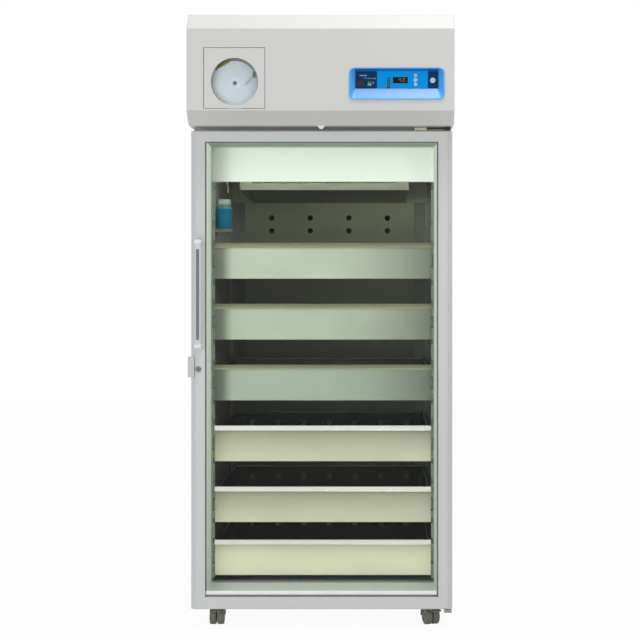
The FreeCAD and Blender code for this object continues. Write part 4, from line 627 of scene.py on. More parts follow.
def add_screw(bm, place, outward, radius, height):
    """A pan head with a cross recess."""
    dome = [(0, height), (radius * 0.55, height * 0.95), (radius * 0.85, height * 0.7),
            (radius, height * 0.2),
            (radius, 0), (0, 0)]
    add_turning(bm, dome, place, outward, 10)
    outward = Vector(outward)
    across = outward.orthogonal().normalized()
    other = outward.cross(across)
    top = Vector(place) + outward * height * 1.02
    for way, side in ((across, other), (other, across)):
        reach, half = way * radius * 0.55, side * radius * 0.12
        face = bm.faces.new([bm.verts.new(top + along + aside) for along, aside in
                             ((reach, half), (reach, -half), (-reach, -half), (-reach, half))])
        if face.normal.dot(outward) < 0:
            face.normal_flip()
        bmesh.ops.solidify(bm, geom=[face], thickness=height * 0.3)


# Pieces


def dress(piece, body, name):
    """Gives a new piece its finish, body and material slot."""
    bpy.context.collection.objects.link(piece)
    piece.data.materials.append(finish(name))
    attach(piece, body)
    return piece


def make_piece(name, bm, body, finish_name, smooth=True):
    """A named mesh piece with its finish, riding on a body."""
    mesh = bpy.data.meshes.new(name)
    bm.to_mesh(mesh)
    bm.free()
    if smooth:
        mesh.polygons.foreach_set("use_smooth", [True] * len(mesh.polygons))
        mesh.set_sharp_from_angle(angle=math.radians(32))
    return dress(bpy.data.objects.new(name, mesh), body, finish_name)


def make_line(name, route, radius, body, finish_name):
    """A round lead or pipe along a smooth curve through its route."""
    curve = bpy.data.curves.new(name, "CURVE")
    curve.dimensions = "3D"
    curve.bevel_depth = radius
    curve.bevel_resolution = 4
    curve.resolution_u = 10
    curve.use_fill_caps = True
    spline = curve.splines.new("NURBS")
    spline.points.add(len(route) - 1)
    for point, place in zip(spline.points, route):
        point.co = (*place, 1.0)
    spline.order_u = 3
    spline.use_endpoint_u = True
    return dress(bpy.data.objects.new(name, curve), body, finish_name)


def paint(finish_names):
    """Gives whole nodes one finish each."""
    for node, name in finish_names.items():
        mesh = frame["nodes"][node].data
        mesh.materials.clear()
        mesh.materials.append(finish(name))
        mesh.polygons.foreach_set("material_index", [0] * len(mesh.polygons))
        mesh.update()


def paint_where(holder, name, chosen):
    """Gives another finish to the faces of a node or new piece whose middle passes a test."""
    mesh = (frame["nodes"][holder] if holder in frame["nodes"] else bpy.data.objects[holder]).data
    mesh.materials.append(finish(name))
    for polygon in mesh.polygons:
        if chosen(polygon.center):
            polygon.material_index = len(mesh.materials) - 1
    mesh.update()


def middle_of(node):
    low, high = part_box(node)
    return (low + high) / 2


def joint(name):
    return next(j for j in frame["joints"] if j["name"] == name)


def spread(low, high, count):
    """Places spread evenly from low to high, half a step in from each end."""
    step = (high - low) / count
    return [low + step * (i + 0.5) for i in range(count)]


class RefrigeratorStep:
    bl_options = {"REGISTER", "UNDO"}

    @property
    def colours(self):
        return bpy.context.scene.refrigerator_colours

    @property
    def details(self):
        return bpy.context.scene.refrigerator_details

    def add_screw_set(self, name, places, outward):
        bm = bmesh.new()
        for place in places:
            add_screw(bm, place, outward, self.details.screw_radius, self.details.screw_height)
        make_piece(name, bm, "cabinet", "zinc_screws")


# Cabinet


class REFRIGERATOR_OT_cabinet(RefrigeratorStep, bpy.types.Operator):
    """Enamelled cabinet, louvred rear and their screws"""
    bl_idname = "refrigerator.cabinet"
    bl_label = "Cabinet"

    def execute(self, context):
        paint({"outer_panels": "baked_enamel_cabinet", "header_housing": "baked_enamel_cabinet",
               "header_cover": "baked_enamel_cabinet", "header_latch": "white_latch_plastic",
               "insulation": "rigid_foam", "breaker_strip": "extruded_breaker",
               "port_sleeve": "moulded_sleeve",
               "hinge_brackets": "passivated_hinge_steel", "power_inlet": "black_inlet_plastic"})
        top_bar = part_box("breaker_strip")[1].z - 40 * MM
        paint_where("breaker_strip", "shaded_breaker", lambda place: place.z > top_bar)
        self.plate_inlet_pins()
        self.add_hinge_covers()
        self.add_screws()
        return {"FINISHED"}

    def plate_inlet_pins(self):
        back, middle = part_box("power_inlet")[1].y, middle_of("power_inlet")
        paint_where("power_inlet", "nickel_pins", lambda place: back - 15.8 * MM < place.y < back - 6 * MM
                    and abs(place.x - middle.x) < 9.5 * MM and abs(place.z - middle.z) < 3 * MM)

    def add_hinge_covers(self):
        """A cream block and a dark pin cap at the upper hinge plate, and a cover under the lower hinge."""
        low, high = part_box("hinge_brackets")
        door_low, door_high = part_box("door_frame")
        above, below = (0, low.y, door_high.z), (0, low.y, door_low.z)
        for name, finish_name, origin, start, end, bevel in (
                ("hinge_block", "cream_hinge_block", above, (302, -29, 2), (342, 40, 11.5), 1),
                ("hinge_cap", "black_key_plastic", above, (404, -29, 2), (418.5, -0.2, 11.5), 1),
                ("lower_hinge_cover", "passivated_hinge_steel", below, (398.5, -34, -12.5),
                 (high.x / MM, -0.2, -1.6), 1.5)):
            bm = bmesh.new()
            add_box(bm, origin, start, end, bevel)
            make_piece(name, bm, "cabinet", finish_name)

    def add_screws(self):
        low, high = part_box("outer_panels")
        inset = 14 * MM
        sides = (low.x + inset, high.x - inset)
        body_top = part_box("breaker_strip")[1].z
        rear = [(x, high.y, z) for z in spread(low.z, body_top, 6) + spread(body_top, high.z, 2)
                for x in sides]
        rear += [(x, high.y, z) for z in (body_top + inset, high.z - inset) for x in spread(low.x, high.x, 4)]
        self.add_screw_set("rear_screws", rear, BACKWARD)
        top = [(x, y, high.z) for y in spread(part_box("header_cover")[1].y, high.y, 4) for x in sides]
        self.add_screw_set("top_screws", top, UP)


# Cold room


class REFRIGERATOR_OT_cold_room(RefrigeratorStep, bpy.types.Operator):
    """Liner, duct panel, light, cooling coil, runners and uprights"""
    bl_idname = "refrigerator.cold_room"
    bl_label = "Cold room"

    def execute(self, context):
        paint({"liner": "liner_enamel", "pilasters": "zinc_rails", "fixed_runners": "zinc_rails",
               "bottle_bracket": "bracket_enamel", "duct_panel": "coated_duct_panel",
               "light_valance": "opal_light_panel", "evaporator_cover": "satin_aluminium_cover",
               "evaporator_coil": "coil_fins", "evaporator_fan": "black_fan_plastic"})
        self.dress_duct()
        self.dress_light()
        self.dress_coil()
        return {"FINISHED"}

    def dress_duct(self):
        """Painted shade: the liner behind the duct panel is near black where its holes show the air space."""
        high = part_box("duct_panel")[1]
        paint_where("liner", "black_duct_lining",
                    lambda place: place.y > high.y - 0.5 * MM and place.z < high.z + 20 * MM)
        paint_where("duct_panel", "corner_strip_enamel", lambda place: place.y < high.y - 1.7 * MM)

    def dress_light(self):
        low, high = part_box("light_valance")
        lamp_y, lamp_z, reach = low.y + 22 * MM, high.z - 80 * MM, high.x - 37 * MM
        paint_where("light_valance", "frosted_lamp_tube", lambda place: place.y > low.y + 13 * MM
                    and abs(place.x) < reach and low.z + 20 * MM < place.z < high.z - 60 * MM)
        bm = bmesh.new()
        metal_cap = mm((0, 0), (8.6, 0), (8.6, 10), (8.2, 10.6), (0, 10.6))
        for side in SIDES:
            add_turning(bm, metal_cap, (side * reach, lamp_y, lamp_z), (-side, 0, 0), 20)
        make_piece("lamp_caps", bm, "cabinet", "zinc_rails")

    def dress_coil(self):
        motor_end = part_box("evaporator_coil")[0].y + 80 * MM
        paint_where("evaporator_coil", "black_motor_enamel", lambda place: place.y < motor_end)
        low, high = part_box("evaporator_cover")
        places = [(x, low.y, high.z - 12 * MM) for x in spread(low.x, high.x, 5)]
        self.add_screw_set("coil_cover_screws", places, FORWARD)


# Drawers, from the top

# Each front and lip has its own colour as painted light: the upper lips lie in painted shade under the
# header, the lower ones carry a painted highlight. The ramps paint reflection and shade across the upper
# fronts and shade under the lips of the lower ones.
FRONT_COLOURS_AS_LIT = ("drawer", "#D0D2C5", "#C0C4BB", "#E2DAC6", "#E2DAC6", "#F0E7D2")
LIP_COLOURS_AS_LIT = ("#C4BCA2", "#C4BCA2", "#C4BCA2", "#FFF8FF", "#FFF4F8", "#FAF0F0")
PAINTED_SHADE_ACROSS_UPPER = ((0.0, 0.36), (0.035, 0.42), (0.08, 0.96), (0.5, 1.0), (0.72, 0.86), (1.0, 0.44))
PAINTED_SHADE_UP_LOWER = ((0.0, 1.06), (0.3, 0.96), (0.55, 0.82), (0.78, 0.62), (0.87, 0.42), (1.0, 0.42))
PAINTED_SHADE_UP_LOWEST = ((0.0, 1.1), (0.3, 1.08), (0.6, 1.02), (0.78, 0.84), (0.87, 0.6), (1.0, 0.6))
PAINTED_SHADE_UP_UPPER_LIP = ((0.0, 1.0), (0.3, 0.6), (0.6, 0.5), (1.0, 0.42))


class REFRIGERATOR_OT_drawers(RefrigeratorStep, bpy.types.Operator):
    """Brushed steel drawers with rolled hems along their walls"""
    bl_idname = "refrigerator.drawers"
    bl_label = "Drawers"

    def execute(self, context):
        wall_x, lip_depth, front_depth = self.details.drawer_half_width, 1.6 * MM, 13.3 * MM
        for number in range(1, 7):
            name = "drawer_" + str(number)
            low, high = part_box(name)
            steel, lip = self.make_front_finishes(number, low.z / MM, high.z / MM)
            paint({name: steel})
            paint_where(name, lip, lambda place: place.y < low.y + lip_depth)
            # Lower trays get a darker copy of the mill finish as painted shade deep between the drawers
            paint_where(name, "mill_finish_tray" if number <= 3 else "dull_mill_finish_tray",
                        lambda place: place.y > low.y + front_depth)
            paint_where(name, "zinc_rails",
                        lambda place: abs(place.x) > wall_x + 0.5 * MM and place.y > low.y + 14 * MM)
            self.add_hems(name, low, high)
            self.add_lip_rolls(name, low, high, lip)
        return {"FINISHED"}

    def make_front_finishes(self, number, foot, top):
        """Names of a front's and lip's finishes: painted shade runs across upper fronts, up lower ones."""
        edge, lip_height = self.details.drawer_front_half / MM, 16
        steel = "brushed_stainless_"
        front_colour, lip_colour = FRONT_COLOURS_AS_LIT[number - 1], LIP_COLOURS_AS_LIT[number - 1]
        if number <= 3:
            painted_light, lip = ("X", -edge, edge, PAINTED_SHADE_ACROSS_UPPER), "bronzed_lip_"
            lip_look = (0.4, ("Z", top - lip_height, top, PAINTED_SHADE_UP_UPPER_LIP))
        else:
            rise = PAINTED_SHADE_UP_LOWEST if number == 6 else PAINTED_SHADE_UP_LOWER
            painted_light, lip, lip_look = ("Z", foot, top, rise), "polished_lip_", (0.2,)
        finish(steel + str(number), brushed_stainless, front_colour, ACROSS_FRONT, 0.36, painted_light)
        finish(lip + str(number), brushed_stainless, lip_colour, ACROSS_FRONT, *lip_look)
        return steel + str(number), lip + str(number)

    def add_hems(self, name, low, high):
        wall_x, hem, half_sheet = self.details.drawer_half_width, self.details.hem_radius, 0.75 * MM
        wall_top, front, back = high.z - 10 * MM, low.y + 14 * MM, high.y
        bm = bmesh.new()
        for side in SIDES:
            x = side * (wall_x - half_sheet)
            add_bar(bm, (x, front, wall_top), (x, back, wall_top), hem)
        add_bar(bm, (-wall_x, back - half_sheet, wall_top), (wall_x, back - half_sheet, wall_top), hem)
        make_piece(name + "_hems", bm, name, "polished_hems")

    def add_lip_rolls(self, name, low, high, lip):
        edge, roll = self.details.drawer_front_half, self.details.lip_radius
        bm = bmesh.new()
        for y, z in ((low.y + roll - 0.3 * MM, high.z - roll + 0.1 * MM),
                     (low.y + 1.0 * MM, high.z - 15.2 * MM)):
            add_bar(bm, (-edge, y, z), (edge, y, z), roll, 16)
        make_piece(name + "_lip_rolls", bm, name, lip)


# Door


class REFRIGERATOR_OT_door(RefrigeratorStep, bpy.types.Operator):
    """Enamelled bars, double glazing, handle, lock and hasp"""
    bl_idname = "refrigerator.door"
    bl_label = "Door"

    def execute(self, context):
        paint({"door_frame": "baked_enamel_door", "door_handle": "baked_enamel_door",
               "hasp_plate": "baked_enamel_door", "glazing_bead": "extruded_bead",
               "glass_panes": "float_glass",
               "handle_inlay": "ribbed_grip_rubber", "lock_cylinder": "burnished_lock"})
        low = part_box("glazing_bead")[0]
        # The foot of the bead is painted white and glowing as a painted highlight where it catches light
        paint_where("glazing_bead", "white_sill_bead",
                    lambda place: place.z < low.z + 20 * MM and place.y > low.y + 1 * MM)
        self.add_spacer()
        self.add_seals()
        self.add_handle_caps()
        self.add_lock_ring()
        return {"FINISHED"}

    def add_spacer(self):
        low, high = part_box("glass_panes")
        inset = 14 * MM
        section = mm((0, 0), (11, 0), (11, 14), (0, 14))
        bm = bmesh.new()
        add_mitred_ring(bm, high.x - inset, low.z + inset, high.z - inset, low.y + 5 * MM, section)
        make_piece("glass_spacer", bm, "door", "anodised_spacer", smooth=False)

    def add_seals(self):
        """Dark wedge seals round the outer pane and the white stop that holds it at the foot.

        The wide seals at the foot and on the right are partly painted shade.
        """
        low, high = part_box("glass_panes")
        face, inset, proud = (0, low.y, 0), 15.2, 2.4
        reach, foot, head = high.x / MM - inset, low.z / MM + inset, high.z / MM - inset
        sill, stop_top, side, right = foot + 6.6, foot + 18.5, 1.2, reach - 4.6
        bm = bmesh.new()
        for x0, z0, x1, z1, bevel in ((-reach, foot, reach, sill, 0.8), (right, sill, reach, head, 0.8),
                                      (-reach, sill, -reach + side, head, 0.4),
                                      (-reach, head - side, right, head, 0.4)):
            add_box(bm, face, (x0, -proud, z0), (x1, 0, z1), bevel)
        make_piece("wedge_seals", bm, "door", "wedge_seal_rubber")
        bm = bmesh.new()
        add_box(bm, face, (-reach + side, -proud - 0.3, sill), (right, 0, stop_top), 0.8)
        make_piece("glass_stop", bm, "door", "white_glass_stop")

    def add_handle_caps(self):
        low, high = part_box("door_handle")
        size, cap, proud = (high - low) / MM, self.details.handle_cap / MM, 0.35
        bm = bmesh.new()
        for z0, z1 in ((0, cap), (size.z - cap, size.z)):
            add_box(bm, low, (-proud, -proud, z0), (size.x + proud, size.y, z1), 1.2, 3)
        make_piece("handle_caps", bm, "door", "white_cap_plastic")

    def add_lock_ring(self):
        middle = middle_of("lock_cylinder")
        bm = bmesh.new()
        add_ring(bm, 8.1, 10.8, 1.6, (1.2, 0.8), (middle.x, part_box("door_frame")[0].y, middle.z), 40)
        make_piece("lock_ring", bm, "door", "zinc_screws")


class REFRIGERATOR_OT_gasket(RefrigeratorStep, bpy.types.Operator):
    """Bellows-shaped magnetic gasket on the back of the door"""
    bl_idname = "refrigerator.gasket"
    bl_label = "Door gasket"

    def execute(self, context):
        low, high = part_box("door_gasket")
        width, depth = 28 * MM, high.y - low.y
        shares = ((0, 0), (0, 0.2), (0.10, 0.30), (0.05, 0.55), (0.09, 0.82), (0.22, 0.98), (0.40, 1.0),
                  (0.5, 0.94))
        left = [(share * width, rise * depth) for share, rise in shares]
        right = [(width - out, ahead) for out, ahead in reversed(left[:-1])]
        bm = bmesh.new()
        add_mitred_ring(bm, high.x - width, low.z + width, high.z - width, low.y, left + right)
        piece = make_piece("gasket_profile", bm, "door", "magnetic_gasket_vinyl")
        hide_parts("door_gasket")
        return {"FINISHED"}


# Probe bottle and lead


class REFRIGERATOR_OT_bottle(RefrigeratorStep, bpy.types.Operator):
    """Glycol bottle with ribbed cap, stopper and probe lead"""
    bl_idname = "refrigerator.bottle"
    bl_label = "Probe bottle"

    def execute(self, context):
        middle, foot_z = middle_of("probe_bottle"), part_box("probe_bottle")[0].z
        foot = Vector((middle.x, middle.y, foot_z))
        wall = mm((0, 0), (23.5, 0), (26, 2.5), (26, 68), (25, 72), (21, 80), (20.5, 83), (0, 83))
        bm = bmesh.new()
        add_turning(bm, wall, foot, UP, 48)
        shell = make_piece("bottle_shell", bm, "cabinet", "dyed_glycol_bottle")
        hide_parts("probe_bottle")
        paint_where("bottle_shell", "blown_bottle", lambda place: place.z > foot_z + 70 * MM)
        self.add_cap(foot)
        bm = bmesh.new()
        stopper = mm((0, 100.8), (4.2, 100.8), (4.5, 103), (3.8, 119), (3.2, 122.6), (2.2, 123), (0, 123))
        add_turning(bm, stopper, steps_from(foot, (12.5, 0, 0))[0], UP, 24)
        make_piece("bottle_stopper", bm, "cabinet", "black_stopper_rubber")
        self.add_lead()
        return {"FINISHED"}

    def add_cap(self, foot):
        """A screw cap whose rim has a groove at every third step round."""
        steps, rim, groove_share = 72, 21.5 * MM, 0.965
        outline = mm((0, 82.5), (21.4, 82.5), (22, 83.5), (22, 99), (21, 100.6), (18, 101), (0, 101))
        bm = bmesh.new()
        made = add_turning(bm, outline, foot, UP, steps)
        for v in made:
            out = (v.co - foot).xy
            grooved = round(math.atan2(out.y, out.x) / (2 * math.pi / steps)) % 3 == 0
            if grooved and out.length > rim:
                v.co.x, v.co.y = foot.x + out.x * groove_share, foot.y + out.y * groove_share
        make_piece("bottle_cap", bm, "cabinet", "ribbed_cap_plastic")

    def add_lead(self):
        route = ((-0.327, -0.160, 1.437), (-0.326, -0.1595, 1.463), (-0.336, -0.165, 1.492),
                 (-0.347, -0.169, 1.525), (-0.348, -0.170, 1.568))
        lead = make_line("probe_lead_line", route, self.details.lead_radius, "cabinet", "lead_jacket_vinyl")
        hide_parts("probe_lead")
        bm = bmesh.new()
        gland = mm((0, -1), (4.5, -1), (6, 1), (6, 5), (8, 5.4), (8, 12), (0, 12))
        add_turning(bm, gland, route[-1], UP, 6)
        make_piece("lead_gland", bm, "cabinet", "moulded_sleeve", smooth=False)


# Chart recorder


class REFRIGERATOR_OT_recorder(RefrigeratorStep, bpy.types.Operator):
    """Round chart recorder behind its glazed door"""
    bl_idname = "refrigerator.recorder"
    bl_label = "Chart recorder"

    def execute(self, context):
        low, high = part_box("chart_disc")
        middle, radius = (low + high) / 2, (high.x - low.x) / 2
        finish("printed_chart_paper", printed_chart, "paper", tuple(self.colours.ink), middle, radius)
        paint({"recorder_door": "baked_enamel_cabinet", "recorder_window": "acrylic_window",
               "recorder_case": "moulded_recorder", "chart_disc": "printed_chart_paper",
               "pen_arm": "sprung_pen_arm"})
        paint_where("chart_disc", "brushed_chart_nut", lambda place: place.y < high.y - 1.2 * MM)
        self.dress_lift_bar(middle, radius)
        self.add_platen(middle, high.y)
        self.add_chart_numbers(middle, radius, high.y - 0.8 * MM)
        self.add_pen()
        return {"FINISHED"}

    def add_platen(self, middle, back):
        """The pale plate that carries the chart, seen round its rim."""
        bm = bmesh.new()
        add_ring(bm, 60, 84, 1.2, None, (middle.x, back + 2.2 * MM, middle.z), 72)
        make_piece("chart_platen", bm, "cabinet", "platen_enamel")
        # Its top is painted darker as painted shade under the door's rim
        paint_where("chart_platen", "platen_shade_enamel", lambda place: place.z > middle.z + 42 * MM)

    def dress_lift_bar(self, middle, radius):
        angle, reach = math.radians(120.5), 24 * MM
        x, z = middle.x + radius * math.cos(angle), middle.z + radius * math.sin(angle)
        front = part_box("pen_arm")[0].y
        paint_where("recorder_case", "olive_lift_bar",
                    lambda place: front - 0.5 * MM < place.y < front + 2 * MM
                    and math.hypot(place.x - x, place.z - z) < reach)

    def add_chart_numbers(self, middle, radius, front):
        row, height = radius - 3.6 * MM, 4.4 * MM
        bm = bmesh.new()
        for hour in range(0, 24, 2):
            turn = math.radians(90 - hour * 15)
            place = Vector((middle.x + row * math.cos(turn), front - 0.08 * MM,
                            middle.z + row * math.sin(turn)))
            add_words(bm, str(hour or 24), height, 0.06 * MM, place, turn - math.pi / 2)
        make_piece("chart_numbers", bm, "chart", "chart_number_ink", smooth=False)

    def add_pen(self):
        low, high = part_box("pen_arm")
        bm = bmesh.new()
        add_box(bm, (high.x, low.y, high.z), (-17.5, -3.2, -31), (-11.5, 0, -10), 1, 3)
        make_piece("pen_holder", bm, "pen", "pen_holder_plastic")
        radius = 0.9 * MM
        heel = Vector((high.x - 28 * MM, low.y - radius, high.z - 38 * MM))
        tip = Vector((low.x + 2 * MM, low.y - radius, low.z + 2.5 * MM))
        bm = bmesh.new()
        add_bar(bm, heel, tip, radius, 16)
        make_piece("pen_cartridge", bm, "pen", "ink_cartridge")


# Control panel

# Bars of the green padlock sign and tick beside the key switch: left and right in mm from the left of the
# opening, foot and head in mm down from its top
GREEN_SIGNS = ((40, 52, 48, 40), (42, 43.6, 40, 35), (48.4, 50, 40, 35), (42, 50, 36.6, 35),
               (54, 60, 38, 35.5), (56, 60, 42, 39.5), (62, 66, 27, 22.5))


class REFRIGERATOR_OT_controls(RefrigeratorStep, bpy.types.Operator):
    """Blue bezel with key switch, lamps, display and buttons"""
    bl_idname = "refrigerator.controls"
    bl_label = "Control panel"

    def execute(self, context):
        paint({"control_bezel": "moulded_bezel", "control_faceplate": "screen_printed_plate",
               "key_switch": "black_key_plastic", "button_up": "moulded_button",
               "button_set": "moulded_button",
               "button_down": "moulded_button", "mute_button": "moulded_button"})
        self.shade_bezel()
        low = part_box("control_faceplate")[0]
        front = low.y + 0.8 * MM
        paint_where("control_faceplate", "display_window", lambda place: place.y < front - 0.1 * MM)
        paint_where("control_faceplate", "board_box", lambda place: place.y > front + 3.1 * MM)
        self.add_labels(front)
        self.add_lamps(front)
        self.add_digits(low.y)
        self.add_icons()
        return {"FINISHED"}

    def shade_bezel(self):
        """Bezel flanks and foot get painted light, and the roof over the plate painted shade."""
        low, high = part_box("control_bezel")
        left, right, roof_foot = low.x + 18 * MM, high.x - 17.5 * MM, high.z - 9 * MM
        paint_where("control_bezel", "moulded_bezel_flank",
                    lambda place: place.z < low.z + 4 * MM or not left < place.x < right)
        paint_where("control_bezel", "moulded_bezel_roof",
                    lambda place: place.y > low.y + 1 * MM and place.z > roof_foot and left < place.x < right)

    def recess(self):
        """Left, bottom, right and top of the opening in the bezel."""
        low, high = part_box("control_bezel")
        return low.x + 19 * MM, low.z + 37 * MM, high.x - 18.5 * MM, high.z - 6.5 * MM

    def add_labels(self, front):
        left, bottom, right, top = self.recess()
        sheet, edge = self.details.label_sheet / MM, 1.2
        width, height = (right - left) / MM, (top - bottom) / MM
        bm = bmesh.new()
        for x0, x1 in ((edge, 70), (width - 34, width - edge)):
            add_plate(bm, (left, front, bottom), (x0, -sheet, edge), (x1, 0, height - edge), 2.5)
        make_piece("navy_labels", bm, "cabinet", "navy_label_film", smooth=False)
        key = middle_of("key_switch")
        bm = bmesh.new()
        add_ring(bm, 7.7, 11.4, 1.4, (1.0, 0.5), (key.x, front, key.z), 36)
        make_piece("key_ring", bm, "cabinet", "black_key_plastic")
        on_label, ink = (left, front - self.details.label_sheet, top), 0.1
        bm = bmesh.new()
        for x0, x1, drop, rise in ((14, 37, 17, 3.6), (27, 37, 24.5, 1.8), (39, 50, 25.5, 1.8),
                                   (52, 60, 26, 1.8)):
            add_plate(bm, on_label, (x0, -ink, -drop), (x1, 0, rise - drop), 0.6)
        make_piece("label_marks", bm, "cabinet", "grey_print", smooth=False)
        bm = bmesh.new()
        for x0, x1, foot, head in GREEN_SIGNS:
            add_box(bm, on_label, (x0, -ink, -foot), (x1, 0, -head))
        make_piece("key_sign", bm, "cabinet", "green_print", smooth=False)

    def add_lamps(self, front):
        left, bottom = self.recess()[:2]
        lens = mm((0, 1.4), (1.2, 1.3), (2.0, 0.8), (2.3, 0), (0, 0))
        foot = Vector((left + 106.7 * MM, front, bottom))
        bm = bmesh.new()
        add_plate(bm, foot, (-4.4, -0.3, 1), (4.4, 0, 36), 1.2)
        make_piece("lamp_strip", bm, "cabinet", "dark_green_film", smooth=False)
        for name, rises in (("alarm_lamp", (9.5,)), ("status_lamps", (17, 23.5, 30))):
            bm = bmesh.new()
            for place in steps_from(foot, *((0, -0.3, rise) for rise in rises)):
                add_turning(bm, lens, place, FORWARD, 20)
            make_piece(name, bm, "cabinet", name + "_lens")

    def add_digits(self, front):
        left, bottom = self.recess()[:2]
        corner = (left, front, bottom)
        bm = bmesh.new()
        for number, x in (("4", 139), ("0", 152)):
            add_digit(bm, steps_from(corner, (x, 0, 22.5))[0], number, 7.5, 12)
        add_box(bm, corner, (148.2, -0.25, 22.3), (149.9, 0, 24))
        make_piece("display_digits", bm, "cabinet", "lit_digits", smooth=False)

    def add_icons(self):
        for node, way in (("button_up", 1), ("button_down", -1)):
            middle = middle_of(node)
            centre = (middle.x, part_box(node)[0].y, middle.z)
            bm = bmesh.new()
            corners = steps_from(centre, (-3.2, -0.2, way * -1.8), (3.2, -0.2, way * -1.8),
                                 (0, -0.2, way * 3))
            face = bm.faces.new([bm.verts.new(corner) for corner in corners])
            made = bmesh.ops.extrude_face_region(bm, geom=[face])["geom"]
            bmesh.ops.translate(bm, verts=[v for v in made if isinstance(v, bmesh.types.BMVert)],
                                vec=(0, 0.25 * MM, 0))
            bmesh.ops.recalc_face_normals(bm, faces=bm.faces[:])
            make_piece(node + "_arrow", bm, node, "icon_print", smooth=False)
        for node, radius in (("button_set", 3.4), ("mute_button", 4.6)):
            middle = middle_of(node)
            centre = (middle.x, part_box(node)[0].y + 0.02 * MM, middle.z)
            bm = bmesh.new()
            add_ring(bm, radius - 1.1, radius, 0.22, None, centre, 32)
            make_piece(node + "_ring", bm, node, "icon_print")


# Machine compartment


class REFRIGERATOR_OT_machine(RefrigeratorStep, bpy.types.Operator):
    """Compressor, condenser, fan and copper pipes behind the header"""
    bl_idname = "refrigerator.machine"
    bl_label = "Machine compartment"

    def execute(self, context):
        paint({"compressor": "black_motor_enamel", "condenser_coil": "coil_fins",
               "condenser_fan": "black_fan_plastic"})
        low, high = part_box("compressor")
        paint_where("compressor", "black_stopper_rubber", lambda place: place.z < low.z + 13.9 * MM)
        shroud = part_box("condenser_fan")[1].y + 3.2 * MM
        paint_where("condenser_coil", "black_motor_enamel", lambda place: place.y < shroud)
        coil_low, coil_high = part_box("condenser_coil")
        middle = (low + high) / 2
        stub = (middle.x, middle.y, high.z - 2 * MM)
        foot = (middle.x, middle.y, low.z)
        inlet = (coil_low.x + 4 * MM, coil_high.y - 25 * MM, coil_low.z + 310 * MM)
        discharge = steps_from(stub, (59.5, 0, 0), (59.5, 0, 34), (120, 30, 52))
        discharge += steps_from(inlet, (-30, 0, 10), (-14, 0, 0), (0, 0, 0))
        suction = steps_from(stub, (0, -25.5, 0), (0, -25.5, 40), (-70, -60, 30))
        suction += steps_from(foot, (-120, -110, 150), (-120, -120, 40), (-120, -120, 0))
        for name, route in (("discharge_pipe", discharge), ("suction_pipe", suction)):
            make_line(name, route, self.details.pipe_radius, "cabinet", "drawn_copper")
        bm = bmesh.new()
        add_box(bm, (low.x, middle.y, low.z), (12, -32, 80), (34, 32, 150), 4, 3)
        make_piece("terminal_box", bm, "cabinet", "black_fan_plastic")
        return {"FINISHED"}


# Casters


class REFRIGERATOR_OT_casters(RefrigeratorStep, bpy.types.Operator):
    """Twin-wheel casters with brake pedals, bolts and axle caps"""
    bl_idname = "refrigerator.casters"
    bl_label = "Casters"

    def execute(self, context):
        paint({"caster_plates": "zinc_screws"})
        plate_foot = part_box("caster_plates")[1].z - 4 * MM
        head = mm((0, 4.2), (5.6, 4.2), (6.4, 3.2), (6.4, 0), (0, 0))
        bolts = bmesh.new()
        for corner in CORNERS:
            self.dress_wheels(corner)
            swivel = joint("swivel_" + corner)["pos_m"]
            for place in steps_from((swivel[0], swivel[1], plate_foot),
                                    *((dx * 33, dy * 33, 0) for dx in SIDES for dy in SIDES)):
                add_turning(bolts, head, place, DOWN, 6)
        make_piece("caster_bolts", bolts, "cabinet", "zinc_screws", smooth=False)
        for corner in CORNERS[:2]:
            paint({"brake_pedal_" + corner: "moulded_pedal"})
            self.add_pedal_ribs(corner)
        return {"FINISHED"}

    def dress_wheels(self, corner):
        """Rubber treads on the outer fifth of the wheels, and domed caps on the ends of their axle."""
        wheels, roll = "caster_wheels_" + corner, joint("roll_" + corner)
        paint({"caster_fork_" + corner: "moulded_caster", wheels: "moulded_caster"})
        axle, along = Vector(roll["pos_m"]), Vector(roll["axis"])
        rim = axle.z * 0.8

        def from_axle(place):
            offset = Vector(place) - axle
            return (offset - along * offset.dot(along)).length

        paint_where(wheels, "caster_tread", lambda place: from_axle(place) > rim)
        bm = bmesh.new()
        dome = mm((0, 1.1), (3.2, 0.9), (5.2, 0.2), (5.2, 0), (0, 0))
        for side in SIDES:
            add_turning(bm, dome, axle + along * side * 23.6 * MM, along * side, 20)
        make_piece("axle_caps_" + corner, bm, "swivel_" + corner, "zinc_screws")

    def add_pedal_ribs(self, corner):
        brake = joint("brake_" + corner)
        pivot, along = Vector(brake["pos_m"]), Vector(brake["axis"])
        outward = along.cross(Vector(UP))
        half_length, radius = along * 12 * MM, 0.9 * MM
        bm = bmesh.new()
        for step in range(6):
            middle = pivot + outward * (14 + 4.4 * step) * MM
            middle.z = pivot.z + 1.5 * MM
            add_bar(bm, middle - half_length, middle + half_length, radius, 8)
        make_piece("pedal_ribs_" + corner, bm, "pedal_" + corner, "moulded_pedal")


# Stage


